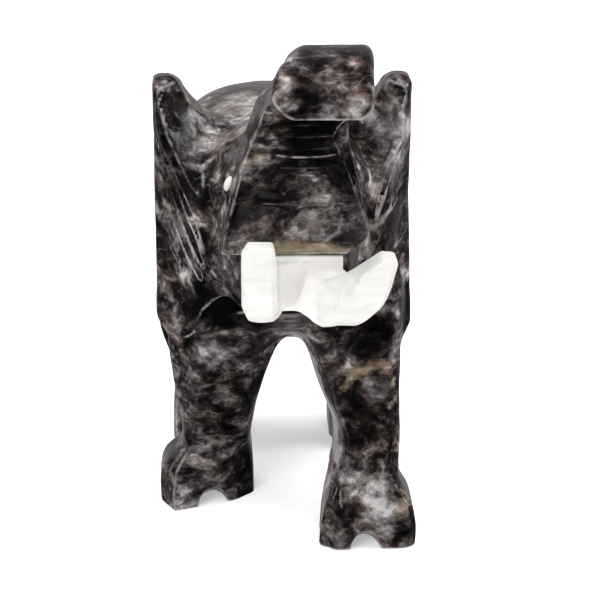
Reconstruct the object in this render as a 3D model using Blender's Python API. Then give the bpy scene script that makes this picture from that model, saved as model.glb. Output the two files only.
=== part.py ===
"""Standing elephant carved from one block of grey marble, with its trunk raised.

One piece of white stone, let into the face below the trunk, makes both tusks, and a small
white disc is let into each cheek as an eye.

Metres, +Z up. The elephant faces -Y and stands on z = 0, and its own right side is at -X.
The origin is the middle of its footprint box. The form is given in parts of three sizes: a
part is EAR_SPAN / 71.2 across, LENGTH / 148 along and HEIGHT / 142 up, which is a millimetre
each way at the carving's own size.
"""

import math

import bmesh
import bpy
from mathutils import Matrix, Vector

# Driving sizes of the elephant
HEIGHT = 0.142
EAR_SPAN = 0.0712
LENGTH = 0.148

# Inlaid pieces
SEAT_CLEARANCE = 0.0003
TENON_WIDTH = 0.0186
TENON_HEIGHT = 0.0150
TENON_DEPTH = 0.0070
EYE_DIAMETER = 0.0042
EYE_THICKNESS = 0.0026

# Carved lines
WRINKLE_WIDTH = 0.0017
WRINKLE_DEPTH = 0.0009
PLEAT_WIDTH = 0.0024
PLEAT_DEPTH = 0.0011
TOE_NOTCH_WIDTH = 0.0080
TOE_NOTCH_HEIGHT = 0.0052
TOE_NOTCH_DEPTH = 0.0105

# Points round a section
BODY_POINTS = 28
LIMB_POINTS = 24
TUSK_POINTS = 12
EYE_POINTS = 16
EYE_RINGS = 9

ACROSS = EAR_SPAN / 71.2
ALONG = LENGTH / 148
UPWARD = HEIGHT / 142
FLANK = 35.6

RIGHT = -1
LEFT = 1

# Barrel: place along, left and right limits, bottom and top, squareness
BARREL = [
    (-15, -17, 20, 63, 104, 2.4),
    (-7, -25, 27, 56.5, 108, 2.5),
    (6, -30, 31, 50, 111, 2.5),
    (20, -32.5, 33, 44.8, 112.8, 2.6),
    (38, -34.5, 34.5, 40.2, 113.6, 2.6),
    (54, -35, 35, 40, 113, 2.6),
    (68, -33, 33, 45, 109.5, 2.5),
    (78, -28, 28, 53, 102, 2.4),
    (84, -20, 20, 64, 93, 2.2),
    (86.5, -9, 9, 72, 85, 2),
]

# Head: place along, low left, low right, high right, high left (across, up), squareness
HEAD = [
    (-34, (-14, 70), (17, 70), (14, 108), (-10, 108), 3.5),
    (-26, (-17.2, 66.5), (19.6, 66.5), (16.6, 112), (-14.2, 112), 3.5),
    (-10, (-20, 61), (23, 61), (21, 115.5), (-18.4, 115.5), 3.2),
    (2, (-22, 58), (25, 58), (22, 115.5), (-18, 115.5), 3),
    (12, (-23, 58), (26, 58), (18, 112), (-14, 112), 2.6),
    (22, (-20, 60), (22, 60), (10, 109), (-8, 109), 2.4),
]

# Nose: front edge and back edge (along, up), then the left and right limits of each
NOSE = [
    ((-38.5, 87.8), (-12, 88), (-17.6, 18.2), (-17.2, 18)),
    ((-38.5, 91.6), (-12.3, 92), (-17, 21.1), (-16.6, 20.4)),
    ((-38.5, 101), (-14, 103), (-14.6, 19.4), (-14.6, 16.6)),
    ((-38.5, 112.5), (-18, 115), (-11.6, 16.8), (-11, 15)),
    ((-38.5, 120), (-22, 125), (-8.6, 15.4), (-8, 16.2)),
    ((-40, 124), (-26, 133.5), (-7, 16.4), (-2, 18.6)),
    ((-44.5, 126), (-32, 140.2), (-5.4, 18.4), (3.2, 21)),
    ((-50, 126.2), (-38, 142), (-5.2, 20), (4.8, 21.8)),
    ((-57, 126.8), (-56.2, 135.8), (-5.6, 20.2), (-4, 20.8)),
]
NOSE_SQUARENESS = 7

# Ear, as distances out from the middle: height, then valley, rim, rim's outer edge,
# front and back of the sawn side, root
EAR = [
    (52.6, (24, 1.6), (25.4, -2.4), (27.6, -3.4), (32.4, 2.6), (32.8, 9), (25, 9)),
    (56.5, (19.5, 2), (21.5, -6), (24, -6.5), (FLANK, 6), (FLANK, 15), (19, 12)),
    (66, (14, 2), (17.8, -12), (20.4, -12), (FLANK, 8), (FLANK, 23), (14, 16)),
    (79, (11, 4), (17.6, -14), (20.8, -13.2), (FLANK, 9), (FLANK, 29), (11, 18)),
    (90, (11, 8), (21.6, -10.2), (24.8, -9), (FLANK, 9), (FLANK, 32), (11, 20)),
    (101, (12, 11), (26.6, -6), (29.4, -4.6), (FLANK, 7), (FLANK, 32), (12, 21)),
    (108, (14, 10.5), (30, -3.6), (32.4, -2.2), (FLANK, 5), (FLANK, 30), (14, 20)),
    (112, (19, 9.5), (31.6, -2.2), (33.6, -0.8), (FLANK, 4), (FLANK, 28), (18.5, 19)),
    (116, (24, 8), (32.2, -1), (34.1, 0.2), (FLANK, 4), (FLANK, 25), (23.2, 18.5)),
    (120, (26.4, 6.5), (32.2, 0), (34.2, 1.2), (FLANK, 4.2), (FLANK, 20), (26.4, 17)),
    (123, (27.8, 6), (31.8, 1.2), (34, 2.2), (FLANK, 4.8), (FLANK, 16), (27.6, 14)),
    (125.2, (29.4, 6), (31.5, 4.4), (33, 4.6), (34.2, 5.8), (34, 11), (30, 11)),
]

# The left ear hangs lower and spreads wider than the right one from this height to its tip
EAR_MIDDLE = 90
EAR_DROP = {RIGHT: 0, LEFT: 2.4}
EAR_SPREAD = {RIGHT: 0, LEFT: 0.035}

# Fan of lines on each ear: where a line starts by the sawn side and ends by the jaw
PLEATS = [
    ((0.84, 115), (0.12, 83)),
    ((0.94, 107), (0.16, 76)),
    ((0.94, 97), (0.24, 70)),
    ((0.94, 83), (0.30, 64)),
]
PLEAT_FACING = Vector((1, -0.7, 0))
PLEAT_STOPS = (0, 0.2, 0.45, 0.7, 1)

# Lines across the nose: height, left and right ends
WRINKLES = [(119.3, -1, 13), (115.4, -4, 14), (111.2, -6, 15), (106.4, -8, 15.5), (101, -10.5, 16)]
WRINKLE_STOPS = (0, 0.15, 0.85, 1)

# A carved line narrows to this share of itself at its ends
FINE_END = 0.25

# Legs: height, left and right limits, front and back, from the sole up into the body
FRONT_RIGHT_LEG = [
    (2, -28.6, -8.9, 8, 23),
    (12, -28.6, -8.9, 6, 23),
    (22, -28.9, -8.6, 2.4, 24),
    (33, -30.6, -6.4, -1, 25.5),
    (46, -32.2, -2, -4, 27),
    (52, -32.6, 1, -5.2, 27.5),
    (58, -33, 3, -6.5, 28),
    (68, -32, -2, -4, 27),
    (80, -28, -6, 2, 25),
]
FRONT_LEFT_LEG = [
    (2, 10.6, 31.4, -25, -6),
    (12, 11.6, 31.4, -25, -4),
    (18, 12.6, 31.4, -23.5, -1),
    (27, 14.2, 32.2, -20, 4),
    (37, 10.2, 32.4, -15, 10),
    (47, 6.4, 33, -10.5, 17),
    (53, 3, 33.2, -9, 19),
    (58, -1, 33.5, -8, 21),
    (68, 4, 33, -5, 24),
    (80, 8, 29, 2, 25),
]
HIND_RIGHT_LEG = [
    (2, -31.2, -10, 53, 76),
    (12, -31.2, -10, 53, 75),
    (25, -31.6, -9.5, 50, 74),
    (31, -33.8, -9, 47.5, 76.5),
    (38, -35.8, -8, 45, 80),
    (47, -36.2, -6, 43, 83),
    (58, -35.8, -4, 43, 84.5),
    (74, -32, -8, 50, 80),
]
HIND_LEFT_LEG = [
    (2, 17, 34.6, 53, 76),
    (12, 16.5, 34.6, 53, 75),
    (25, 13.5, 34.8, 50, 74),
    (31, 9, 35, 47.5, 76.5),
    (38, 6.5, 35.6, 45, 80),
    (47, 5, 36, 43, 83),
    (58, 4, 35.6, 43, 84.5),
    (74, 8, 32, 50, 80),
]
LEG_SQUARENESS = 3.2

# Feet: the leg, then the outline of the sole (across, along), how far its inner side leans
# over by the shoulder, and the middle of the notch between the two toes
FEET = [
    (FRONT_RIGHT_LEG,
     [(-31.4, -1.3), (-15.9, 4.6), (-8.9, 12.4), (-8.9, 21),
      (-12, 24.5), (-32, 24.5), (-FLANK, 21), (-FLANK, 7.5)],
     0, (-20.2, 3)),
    (FRONT_LEFT_LEG,
     [(8.6, -25.7), (13, -30.1), (33, -29.4), (FLANK, -26.8),
      (FLANK, -7), (32, -3.5), (15, -3.5), (10.4, -8)],
     1.2, (21.4, -29.8)),
    (HIND_RIGHT_LEG,
     [(-31.4, 47.5), (-28.5, 44.5), (-13, 44.5), (-9.6, 47.5),
      (-9.6, 74), (-12.5, 77), (-28.5, 77), (-31.4, 74)],
     0, (-20.5, 44.5)),
    (HIND_LEFT_LEG,
     [(16.8, 47.5), (19.5, 44.5), (33, 44.5), (FLANK, 47.5),
      (FLANK, 74), (33, 77), (19.5, 77), (16.8, 74)],
     0, (26.2, 44.5)),
]
FOOT_SHOULDER = 12
FOOT_CROWN = 17.5
CROWN_INSIDE_LEG = 2.2

# The notch's cutter starts this share of its depth before the foot
NOTCH_START = 0.4

# Tail, lying on the rump: height, half width, front and back, and its squareness
TAIL = [
    (101, 2.4, 66, 80),
    (94, 2.8, 72, 86),
    (84, 2.6, 76, 89.2),
    (72, 2.4, 76, 90),
    (60, 2.4, 74, 88.8),
    (52, 3.4, 72, 87),
    (47, 1.6, 72, 84),
]
TAIL_SQUARENESS = 2.5

# Tusks: middle of each section (across, along, up), half width and half height
RIGHT_TUSK = [
    ((-6.8, -36.2, 79.8), 5.0, 6.6),
    ((-7.3, -44, 78.2), 4.9, 6.4),
    ((-7.6, -51, 80.8), 4.7, 6.0),
    ((-7.6, -56.4, 86.8), 4.5, 5.2),
    ((-7.2, -59.4, 94.6), 3.5, 3.3),
]
LEFT_TUSK = [
    ((11.6, -36.2, 78), 5.4, 6.4),
    ((13.6, -43, 75.8), 5.6, 6.3),
    ((17.2, -49.8, 78.8), 5.1, 5.8),
    ((21.2, -55.4, 84.8), 4.6, 5.2),
    ((24.4, -59.2, 91), 3.6, 3.6),
]
TUSK_SQUARENESS = 4.5

# Web between the tusks: middle (across, up), its front, and the face that it is let into
WEB_MIDDLE = (4.2, 80)
WEB_FRONT = -39.4
FACE_FRONT = -33.6

# Eyes: middle of each, and how far the cheek turns to the front
EYE_MIDDLE = {RIGHT: (-15.1, -25, 103), LEFT: (17.2, -25, 103)}
EYE_TURN = math.radians(12)


def at(across, along, up):
    """A point of the form, from parts to metres."""
    return Vector((across * ACROSS, along * ALONG, up * UPWARD))


def rounded_ring(corners, squareness, count):
    """A closed ring of points inside four corners: an ellipse at squareness 2, and nearly
    the four-sided outline itself above 5."""
    low_left, low_right, high_right, high_left = corners
    ring = []
    for step in range(count):
        angle = 2 * math.pi * (step + 0.5) / count
        across = math.copysign(abs(math.cos(angle)) ** (2 / squareness), math.cos(angle))
        upward = math.copysign(abs(math.sin(angle)) ** (2 / squareness), math.sin(angle))
        low = low_left.lerp(low_right, (1 + across) / 2)
        high = high_left.lerp(high_right, (1 + across) / 2)
        ring.append(low.lerp(high, (1 + upward) / 2))
    return ring


def polished(name, colour, roughness):
    """A polished stone of one colour."""
    material = bpy.data.materials.new(name)
    material.use_nodes = True
    shader = material.node_tree.nodes["Principled BSDF"]
    shader.inputs["Base Color"].default_value = (*colour, 1)
    shader.inputs["Roughness"].default_value = roughness
    shader.inputs["Metallic"].default_value = 0
    return material


def new_object(name, build, collection):
    """An object for a finished bmesh, in its collection. A cutter shows as wires only."""
    mesh = bpy.data.meshes.new(name)
    build.to_mesh(mesh)
    build.free()
    made = bpy.data.objects.new(name, mesh)
    collection.objects.link(made)
    if collection.name == "cutters":
        made.hide_render = True
        made.display_type = "WIRE"
    return made


def loft(name, rings, collection):
    """A closed solid through rings that have as many points each, with flat ends."""
    build = bmesh.new()
    loops = [[build.verts.new(point) for point in ring] for ring in rings]
    for lower, upper in zip(loops, loops[1:]):
        for index in range(len(lower)):
            following = (index + 1) % len(lower)
            build.faces.new((lower[index], lower[following], upper[following], upper[index]))
    build.faces.new(reversed(loops[0]))
    build.faces.new(loops[-1])
    bmesh.ops.triangulate(build, faces=build.faces)
    bmesh.ops.recalc_face_normals(build, faces=build.faces)
    return new_object(name, build, collection)


def combine(target, operand, operation):
    """Unites the operand with the target, or cuts it from the target."""
    modifier = target.modifiers.new(operand.name, "BOOLEAN")
    modifier.operation = operation
    modifier.solver = "EXACT"
    modifier.object = operand


def barrel(collection):
    """Barrel of the body, from inside the head to the rump."""
    rings = []
    for along, left, right, bottom, top, squareness in BARREL:
        corners = [(left, bottom), (right, bottom), (right, top), (left, top)]
        places = [at(across, along, up) for across, up in corners]
        rings.append(rounded_ring(places, squareness, BODY_POINTS))
    return loft("elephant_body", rings, collection)


def head(collection):
    """Skull and jaw, with cheeks that widen towards the neck."""
    rings = []
    for along, *corners, squareness in HEAD:
        places = [at(across, along, up) for across, up in corners]
        rings.append(rounded_ring(places, squareness, BODY_POINTS))
    return loft("head", rings, collection)


def nose(collection):
    """Raised nose: broad and flat down the face, bent forward at its blunt tip."""
    rings = []
    for front, back, front_limits, back_limits in NOSE:
        corners = [
            at(front_limits[0], *front), at(front_limits[1], *front),
            at(back_limits[1], *back), at(back_limits[0], *back),
        ]
        rings.append(rounded_ring(corners, NOSE_SQUARENESS, BODY_POINTS))
    return loft("nose", rings, collection)


def ear_point(side, out, along, up):
    """A point of one ear, which hangs and spreads more below its middle height."""
    lowness = max(0, (EAR_MIDDLE - up) / (EAR_MIDDLE - EAR[0][0]))
    return at(side * out * (1 + EAR_SPREAD[side] * lowness), along, up - EAR_DROP[side] * lowness)


def ear(side, collection):
    """Ear sawn flush with the block: a rim between a hollow temple and a slanted outer face."""
    rings = [[ear_point(side, out, along, up) for out, along in corners] for up, *corners in EAR]
    return loft("ear", rings, collection)


def on_ear(side, share, up):
    """A point of the ear's outer face: share 0 at the rim, 1 at the sawn side."""
    index = max(place for place in range(len(EAR) - 1) if EAR[place][0] <= up)
    lower, upper = EAR[index], EAR[index + 1]
    rise = (up - lower[0]) / (upper[0] - lower[0])
    rim = Vector(lower[3]).lerp(Vector(upper[3]), rise)
    edge = Vector(lower[4]).lerp(Vector(upper[4]), rise)
    return ear_point(side, *rim.lerp(edge, share), up)


def leg(name, sections, collection):
    """Leg from its foot up into the body."""
    rings = []
    for up, left, right, front, back in sections:
        corners = [(left, front), (right, front), (right, back), (left, back)]
        places = [at(across, along, up) for across, along in corners]
        rings.append(rounded_ring(places, LEG_SQUARENESS, LIMB_POINTS))
    return loft(name, rings, collection)


def foot(leg_sections, outline, lean, collection):
    """Block foot with cut corners. Its shoulder slopes in to a crown hidden in the leg."""
    nearest = min(leg_sections, key=lambda section: abs(section[0] - FOOT_CROWN))
    left, right, front, back = nearest[1:]
    inside = CROWN_INSIDE_LEG
    middle = abs(left + right) / 2
    sole = [at(across, along, 0) for across, along in outline]
    shoulder = []
    crown = []
    for across, along in outline:
        leaning = math.copysign(lean, across) if abs(across) < middle else 0
        shoulder.append(at(across + leaning, along, FOOT_SHOULDER))
        held_across = min(max(across, left + inside), right - inside)
        held_along = min(max(along, front + inside), back - inside)
        crown.append(at(held_across, held_along, FOOT_CROWN))
    return loft("foot", [sole, shoulder, crown], collection)


def toe_notch(middle, collection):
    """Cutter for the scoop between two toes: an arch at the front that runs out at the sole."""
    mouth = at(*middle, 0)
    rings = []
    for share in (-NOTCH_START, 1):
        centre = mouth + Vector((0, TOE_NOTCH_DEPTH * share, -TOE_NOTCH_HEIGHT * share))
        ring = []
        for step in range(LIMB_POINTS):
            angle = 2 * math.pi * step / LIMB_POINTS
            across = math.cos(angle) * TOE_NOTCH_WIDTH / 2
            ring.append(centre + Vector((across, 0, math.sin(angle) * TOE_NOTCH_HEIGHT)))
        rings.append(ring)
    return loft("toe_notch", rings, collection)


def carved_line(points, outward, width, depth, collection):
    """Cutter for a line carved along points: a blade of diamond section, fine at its ends."""
    rings = []
    for index, point in enumerate(points):
        before, after = points[max(index - 1, 0)], points[min(index + 1, len(points) - 1)]
        sideways = (after - before).cross(outward).normalized() * width / 2
        inward = outward.normalized() * depth
        if index in (0, len(points) - 1):
            sideways, inward = sideways * FINE_END, inward * FINE_END
        rings.append([point + sideways, point + inward, point - sideways, point - inward])
    return loft("carved_line", rings, collection)


def tail(collection):
    """Tail lying against the rump."""
    rings = []
    for up, half_width, front, back in TAIL:
        corners = [(-half_width, front), (half_width, front), (half_width, back), (-half_width, back)]
        places = [at(across, along, up) for across, along in corners]
        rings.append(rounded_ring(places, TAIL_SQUARENESS, TUSK_POINTS))
    return loft("tail", rings, collection)


def web(name, clearance, front, collection):
    """Block between the tusks with its tenon, or with a clearance the pocket that takes it."""
    across, up = WEB_MIDDLE
    centre = at(across, 0, up)
    half = Vector((TENON_WIDTH / 2 + clearance, 0, TENON_HEIGHT / 2 + clearance))
    low, high = centre - half, centre + half
    low.y = front * ALONG
    high.y = FACE_FRONT * ALONG + TENON_DEPTH + clearance
    build = bmesh.new()
    bmesh.ops.create_cube(build, size=1)
    bmesh.ops.scale(build, vec=high - low, verts=build.verts)
    bmesh.ops.translate(build, vec=(low + high) / 2, verts=build.verts)
    return new_object(name, build, collection)


def tusk(sections, collection):
    """One tusk of four-sided section that runs forward and turns up, cut blunt at its tip."""
    middles = [at(*section[0]) for section in sections]
    rings = []
    for index, centre in enumerate(middles):
        half_width, half_height = sections[index][1:]
        before, after = middles[max(index - 1, 0)], middles[min(index + 1, len(middles) - 1)]
        forward = (after - before).normalized()
        level = Vector((1, 0, 0))
        right = (level - forward * level.dot(forward)).normalized()
        across = right * half_width * ACROSS
        high = right.cross(forward) * half_height * UPWARD
        low_left, low_right = centre - across - high, centre + across - high
        corners = [low_left, low_right, low_right + high * 2, low_left + high * 2]
        rings.append(rounded_ring(corners, TUSK_SQUARENESS, TUSK_POINTS))
    return loft("tusk", rings, collection)


def eye(name, side, clearance, collection):
    """Lens-shaped disc set in the cheek, or with a clearance the socket that takes it."""
    build = bmesh.new()
    bmesh.ops.create_uvsphere(build, u_segments=EYE_POINTS, v_segments=EYE_RINGS, radius=1)
    radius = EYE_DIAMETER / 2 + clearance
    bmesh.ops.scale(build, vec=(radius, radius, EYE_THICKNESS / 2 + clearance), verts=build.verts)
    sideways = Matrix.Rotation(side * math.pi / 2, 3, "Y")
    turned = Matrix.Rotation(-side * EYE_TURN, 3, "Z")
    bmesh.ops.rotate(build, matrix=turned @ sideways, verts=build.verts)
    bmesh.ops.translate(build, vec=at(*EYE_MIDDLE[side]), verts=build.verts)
    return new_object(name, build, collection)


def carve_lines(body, cutters):
    """Wrinkles across the nose and the fan of lines on each ear."""
    face = NOSE[0][0][0]
    for up, left, right in WRINKLES:
        stops = [at(left + (right - left) * share, face, up) for share in WRINKLE_STOPS]
        line = carved_line(stops, Vector((0, -1, 0)), WRINKLE_WIDTH, WRINKLE_DEPTH, cutters)
        combine(body, line, "DIFFERENCE")
    for side in (RIGHT, LEFT):
        facing = Vector((side * PLEAT_FACING.x, PLEAT_FACING.y, 0))
        for (start, start_up), (end, end_up) in PLEATS:
            stops = []
            for share in PLEAT_STOPS:
                out = start + (end - start) * share
                stops.append(on_ear(side, out, start_up + (end_up - start_up) * share))
            line = carved_line(stops, facing, PLEAT_WIDTH, PLEAT_DEPTH, cutters)
            combine(body, line, "DIFFERENCE")


def make_body(pieces, cutters):
    """The marble elephant itself, one solid."""
    body = barrel(pieces)
    body.data.materials.append(polished("grey_marble", (0.11, 0.1, 0.105), 0.22))
    forms = [head(cutters), nose(cutters), ear(RIGHT, cutters), ear(LEFT, cutters), tail(cutters)]
    forms.append(leg("front_right_leg", FRONT_RIGHT_LEG, cutters))
    forms.append(leg("front_left_leg", FRONT_LEFT_LEG, cutters))
    forms.append(leg("hind_right_leg", HIND_RIGHT_LEG, cutters))
    forms.append(leg("hind_left_leg", HIND_LEFT_LEG, cutters))
    for leg_sections, outline, lean, _ in FEET:
        forms.append(foot(leg_sections, outline, lean, cutters))
    for form in forms:
        combine(body, form, "UNION")
    for *_, notch in FEET:
        combine(body, toe_notch(notch, cutters), "DIFFERENCE")
    carve_lines(body, cutters)
    lip = NOSE[0][0][0] + WEB_FRONT - FACE_FRONT
    combine(body, web("tusk_pocket", SEAT_CLEARANCE, lip, cutters), "DIFFERENCE")
    for side in (RIGHT, LEFT):
        combine(body, eye("eye_socket", side, SEAT_CLEARANCE, cutters), "DIFFERENCE")
    return body


def make_tusks(pieces, cutters):
    """Both tusks and the web between them, one piece of white stone."""
    tusks = web("tusks", 0, WEB_FRONT, pieces)
    tusks.data.materials.append(polished("white_stone", (0.86, 0.84, 0.8), 0.3))
    for sections in (RIGHT_TUSK, LEFT_TUSK):
        combine(tusks, tusk(sections, cutters), "UNION")
    return tusks


def make_eyes(pieces):
    """The two inlaid eyes."""
    white = polished("eye_shell", (0.88, 0.87, 0.83), 0.2)
    eyes = [eye("right_eye", RIGHT, 0, pieces), eye("left_eye", LEFT, 0, pieces)]
    for disc in eyes:
        disc.data.materials.append(white)
    return eyes


def centre_on_origin(made):
    """Moves everything together, so that the origin is the middle of the pieces' footprint."""
    bpy.context.view_layer.update()
    graph = bpy.context.evaluated_depsgraph_get()
    points = []
    for piece in made:
        shape = piece.evaluated_get(graph)
        points.extend(shape.matrix_world @ vertex.co for vertex in shape.data.vertices)
    middle = Vector((0, 0, min(point.z for point in points)))
    for axis in (0, 1):
        values = [point[axis] for point in points]
        middle[axis] = (min(values) + max(values)) / 2
    for thing in bpy.data.objects:
        thing.location -= middle


def main():
    """Clears the scene and builds the elephant."""
    for thing in list(bpy.data.objects):
        bpy.data.objects.remove(thing)
    pieces = bpy.data.collections.new("marble_elephant")
    cutters = bpy.data.collections.new("cutters")
    for collection in (pieces, cutters):
        bpy.context.scene.collection.children.link(collection)
    made = [make_body(pieces, cutters), make_tusks(pieces, cutters), *make_eyes(pieces)]
    centre_on_origin(made)


main()
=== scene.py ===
"""Standing elephant carved from mottled grey and black marble: its polished surface, the white
stone of its tusks and eyes, and a plain studio round it.

The form is worked out in millimetres, seen from the front: x runs to the viewer's right, y runs
away from the viewer and z is up from the ground. The elephant's own right side is at -x. Each
stone is a field on a fine grid, negative inside it, put together from lofts whose sections are
read from short tables. Its zero surface is then turned into a mesh.
"""
import math

import bmesh
import bpy
import numpy as np
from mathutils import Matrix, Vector


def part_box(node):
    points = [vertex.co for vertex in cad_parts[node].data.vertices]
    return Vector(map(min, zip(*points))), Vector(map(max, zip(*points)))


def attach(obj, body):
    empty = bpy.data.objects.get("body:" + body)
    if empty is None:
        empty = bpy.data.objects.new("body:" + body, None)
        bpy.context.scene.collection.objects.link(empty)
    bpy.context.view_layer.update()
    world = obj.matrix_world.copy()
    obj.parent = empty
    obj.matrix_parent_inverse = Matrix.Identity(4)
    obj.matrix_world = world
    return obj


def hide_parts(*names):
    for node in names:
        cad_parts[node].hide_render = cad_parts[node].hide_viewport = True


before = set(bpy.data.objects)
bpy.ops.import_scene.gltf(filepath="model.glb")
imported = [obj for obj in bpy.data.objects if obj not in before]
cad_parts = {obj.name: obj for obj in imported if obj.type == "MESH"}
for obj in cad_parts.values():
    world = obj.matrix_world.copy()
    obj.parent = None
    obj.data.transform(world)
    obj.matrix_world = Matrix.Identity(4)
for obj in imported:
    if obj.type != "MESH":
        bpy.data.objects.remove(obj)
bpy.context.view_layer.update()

# The carving's front lower corner in its own frame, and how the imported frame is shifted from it
BODY_CORNER = np.array([-36.12, -57.0, 0.0])
SHIFT = np.array(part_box("elephant_body")[0]) * 1000 - BODY_CORNER
RIGHT, LEFT = -1, 1

# How far out the ears and the feet lie
FLANK = 35.6
# A distance beyond any place, and how far each millimetre along both of its axes carries a
# place past a cut at 45 degrees
FAR, DIAGONAL = 1e9, 0.7071

# Barrel: place along, left and right, bottom and top, squareness
BARREL = [
    (-15, -17, 20, 63, 104, 2.4), (-7, -25, 27, 56.5, 108, 2.5), (6, -30, 31, 50, 111, 2.5),
    (20, -32.5, 33, 44.8, 112.8, 2.6), (38, -34.5, 34.5, 40.2, 113.6, 2.6),
    (54, -35, 35, 40, 113, 2.6), (68, -33, 33, 45, 109.5, 2.5), (78, -28, 28, 53, 102, 2.4),
    (84, -20, 20, 64, 93, 2.2), (86.8, -9, 9, 72, 85, 2),
]

# Head: place along, bottom and top, left and right at the bottom, left and right at the top,
# squareness
HEAD = [
    (-34, 70, 108, -14, 17, -10, 14, 3.2), (-26, 66.5, 112, -17.2, 19.6, -14.2, 16.6, 3),
    (-10, 61, 115.5, -20, 23, -18.4, 21, 2.6), (2, 58, 115.5, -22, 25, -18, 22, 2.5),
    (12, 58, 112, -23, 26, -14, 18, 2.4), (22, 60, 109, -20, 22, -8, 10, 2.4),
]

# Nose: front edge, back edge (along, up), left and right in front, left and right at the
# back, how round its corners are, and how much is cut off its corners: in front on the
# right, in front on the left, and at the back on the left
NOSE = [
    (-38.5, 87.2, -12, 88, -17.6, 15.2, -17.2, 15, 0.7, 0.2, 0.1, 0.1),
    (-38.5, 91.9, -12.3, 92, -17, 21.2, -16.6, 20.4, 0.8, 0.7, 0.1, 0.1),
    (-38.5, 101, -14, 103, -14.6, 19.6, -14.6, 16.6, 0.8, 1.4, 0.1, 0.1),
    (-38.5, 112.5, -18, 115, -11.6, 17, -11, 15, 0.9, 3.0, 0.1, 0.1),
    (-38.5, 117.5, -20.7, 121.7, -9.6, 15.8, -9, 15.8, 1, 4.2, 0.1, 0.1),
    (-38.5, 121, -22.6, 126.2, -8.2, 15.4, -7.4, 16.4, 1.2, 2.6, 0.1, 0.1),
    (-40, 124, -26, 133.5, -7, 16.4, -2, 18.6, 1.6, 0.3, 0.3, 0.3),
    (-44.5, 126, -32, 140.2, -6, 18.4, 0.6, 21, 2.4, 1.0, 1.0, 0.8),
    (-50, 126.2, -38, 142.0, -5.6, 20, 1.2, 21.8, 3, 1.8, 3.0, 1.8),
    (-54, 126.4, -48, 139.8, -5.5, 20.2, -3.6, 21.2, 3, 2.4, 4.4, 2.4),
    (-57, 126.8, -56.2, 135.6, -5.2, 20.3, -5, 20.9, 2.4, 2.6, 5.0, 3.0),
]

# Ear: height, then valley, rim, rim's outer edge, front and back of the sawn side, root
EAR = [
    (52.6, 24, 1.6, 25.4, -2.4, 27.6, -3.4, 32.4, 2.6, 32.8, 9, 25, 9),
    (56.5, 19.5, 2, 21.5, -6, 24, -6.5, FLANK, 6, FLANK, 15, 19, 12),
    (66, 14, 2, 17.8, -12, 20.4, -12, FLANK, 8, FLANK, 23, 14, 16),
    (79, 11, 4, 17.6, -14, 20.8, -13.2, FLANK, 9, FLANK, 29, 11, 18),
    (90, 11, 8, 21.6, -10.2, 24.8, -9, FLANK, 9, FLANK, 32, 11, 20),
    (101, 12, 11, 26.6, -6, 29.4, -4.6, FLANK, 7, FLANK, 32, 12, 21),
    (108, 14, 10.5, 30, -3.6, 32.4, -2.2, FLANK, 5, FLANK, 30, 14, 20),
    (112, 19, 9.5, 31.6, -2.2, 33.6, -0.8, FLANK, 4, FLANK, 28, 18.5, 19),
    (116, 24, 8, 32.2, -1, 34.1, 0.2, FLANK, 4, FLANK, 25, 23.2, 18.5),
    (120, 26.4, 6.5, 32.2, 0, 34.2, 1.2, FLANK, 4.2, FLANK, 20, 26.4, 17),
    (123, 27.8, 6, 31.8, 1.2, 34, 2.2, FLANK, 4.8, FLANK, 16, 27.6, 14),
    (125.4, 29.4, 6, 31.5, 4.4, 33, 4.6, 34.2, 5.8, 34, 11, 30, 11),
]
# Below this height an ear is let down and spread, by so much at its lower tip
EAR_MIDDLE = 90
EAR_DROP = {RIGHT: 0, LEFT: 2.4}
EAR_SPREAD = {RIGHT: 0, LEFT: 0.035}

# Rough pit left by a chisel in the tip of each ear: middle (out, along, up) and reaches
PITS = {
    RIGHT: [((30.2, -0.2, 120.2), (2.9, 2.2, 3.8)), ((28.8, 0.2, 115.4), (2.4, 2, 3.6))],
    LEFT: [((31.4, 0.4, 120.6), (1.6, 2, 2.6))],
}

# Hollow between the right ear, the jaw and the leg, painted black as shade by its cloud values: places and
# half widths
HOLLOW = [(-24, -8, 56.6, 2), (-20.4, -10, 60.2, 3.2), (-15.8, -12.6, 65, 3.4), (-11.4, -15.6, 68.6, 3)]

# How far out the sawn sides lie, on the right and the left, and on the haunches behind
SAWN = {RIGHT: 35.6, LEFT: 36.5}
SAWN_HAUNCH = {RIGHT: 36.05, LEFT: 36.6}

# Grooves cut across each ear: places (out, along, up) and half their width
GROOVES = {
    RIGHT: [
        [(35.2, 4.0, 112.5, 0.3), (30.8, -2.0, 101.5, 0.6), (25.2, -8.6, 89.5, 0.8), (21.2, -12.4, 81, 0.4)],
        [(35.2, 4.0, 106.5, 0.6), (30.4, -1.6, 95, 1.1), (25.0, -8.4, 84.2, 1.2), (21.6, -11.8, 76.8, 0.7)],
        [(35.2, 6.0, 98, 0.5), (30.0, -1.0, 88.5, 1.2), (25.6, -6.6, 79.8, 1.3), (22.6, -10.2, 73.2, 0.8)],
        [(33.6, 5.2, 84.6, 0.3), (30.2, 0.6, 78.4, 0.6), (26.8, -4.6, 73.4, 0.5)],
        [(34.6, 7.6, 74.8, 0.3), (31.2, 1.8, 70.6, 0.5), (27.2, -3.2, 66.0, 0.3)],
    ],
    LEFT: [
        [(35.4, 3.2, 112, 0.4), (31.6, -1.6, 106, 0.8), (26.4, -7.0, 95.5, 0.8), (22.8, -11.6, 86.5, 0.5)],
        [(35.4, 7.0, 94.8, 0.4), (29.6, -1.6, 90.8, 0.8), (23.4, -11.0, 86.7, 0.5)],
        [(35.4, 8.5, 81.5, 0.4), (32.0, 3.0, 79.6, 0.7), (29.2, -0.9, 77.6, 0.5)],
    ],
}

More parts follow.
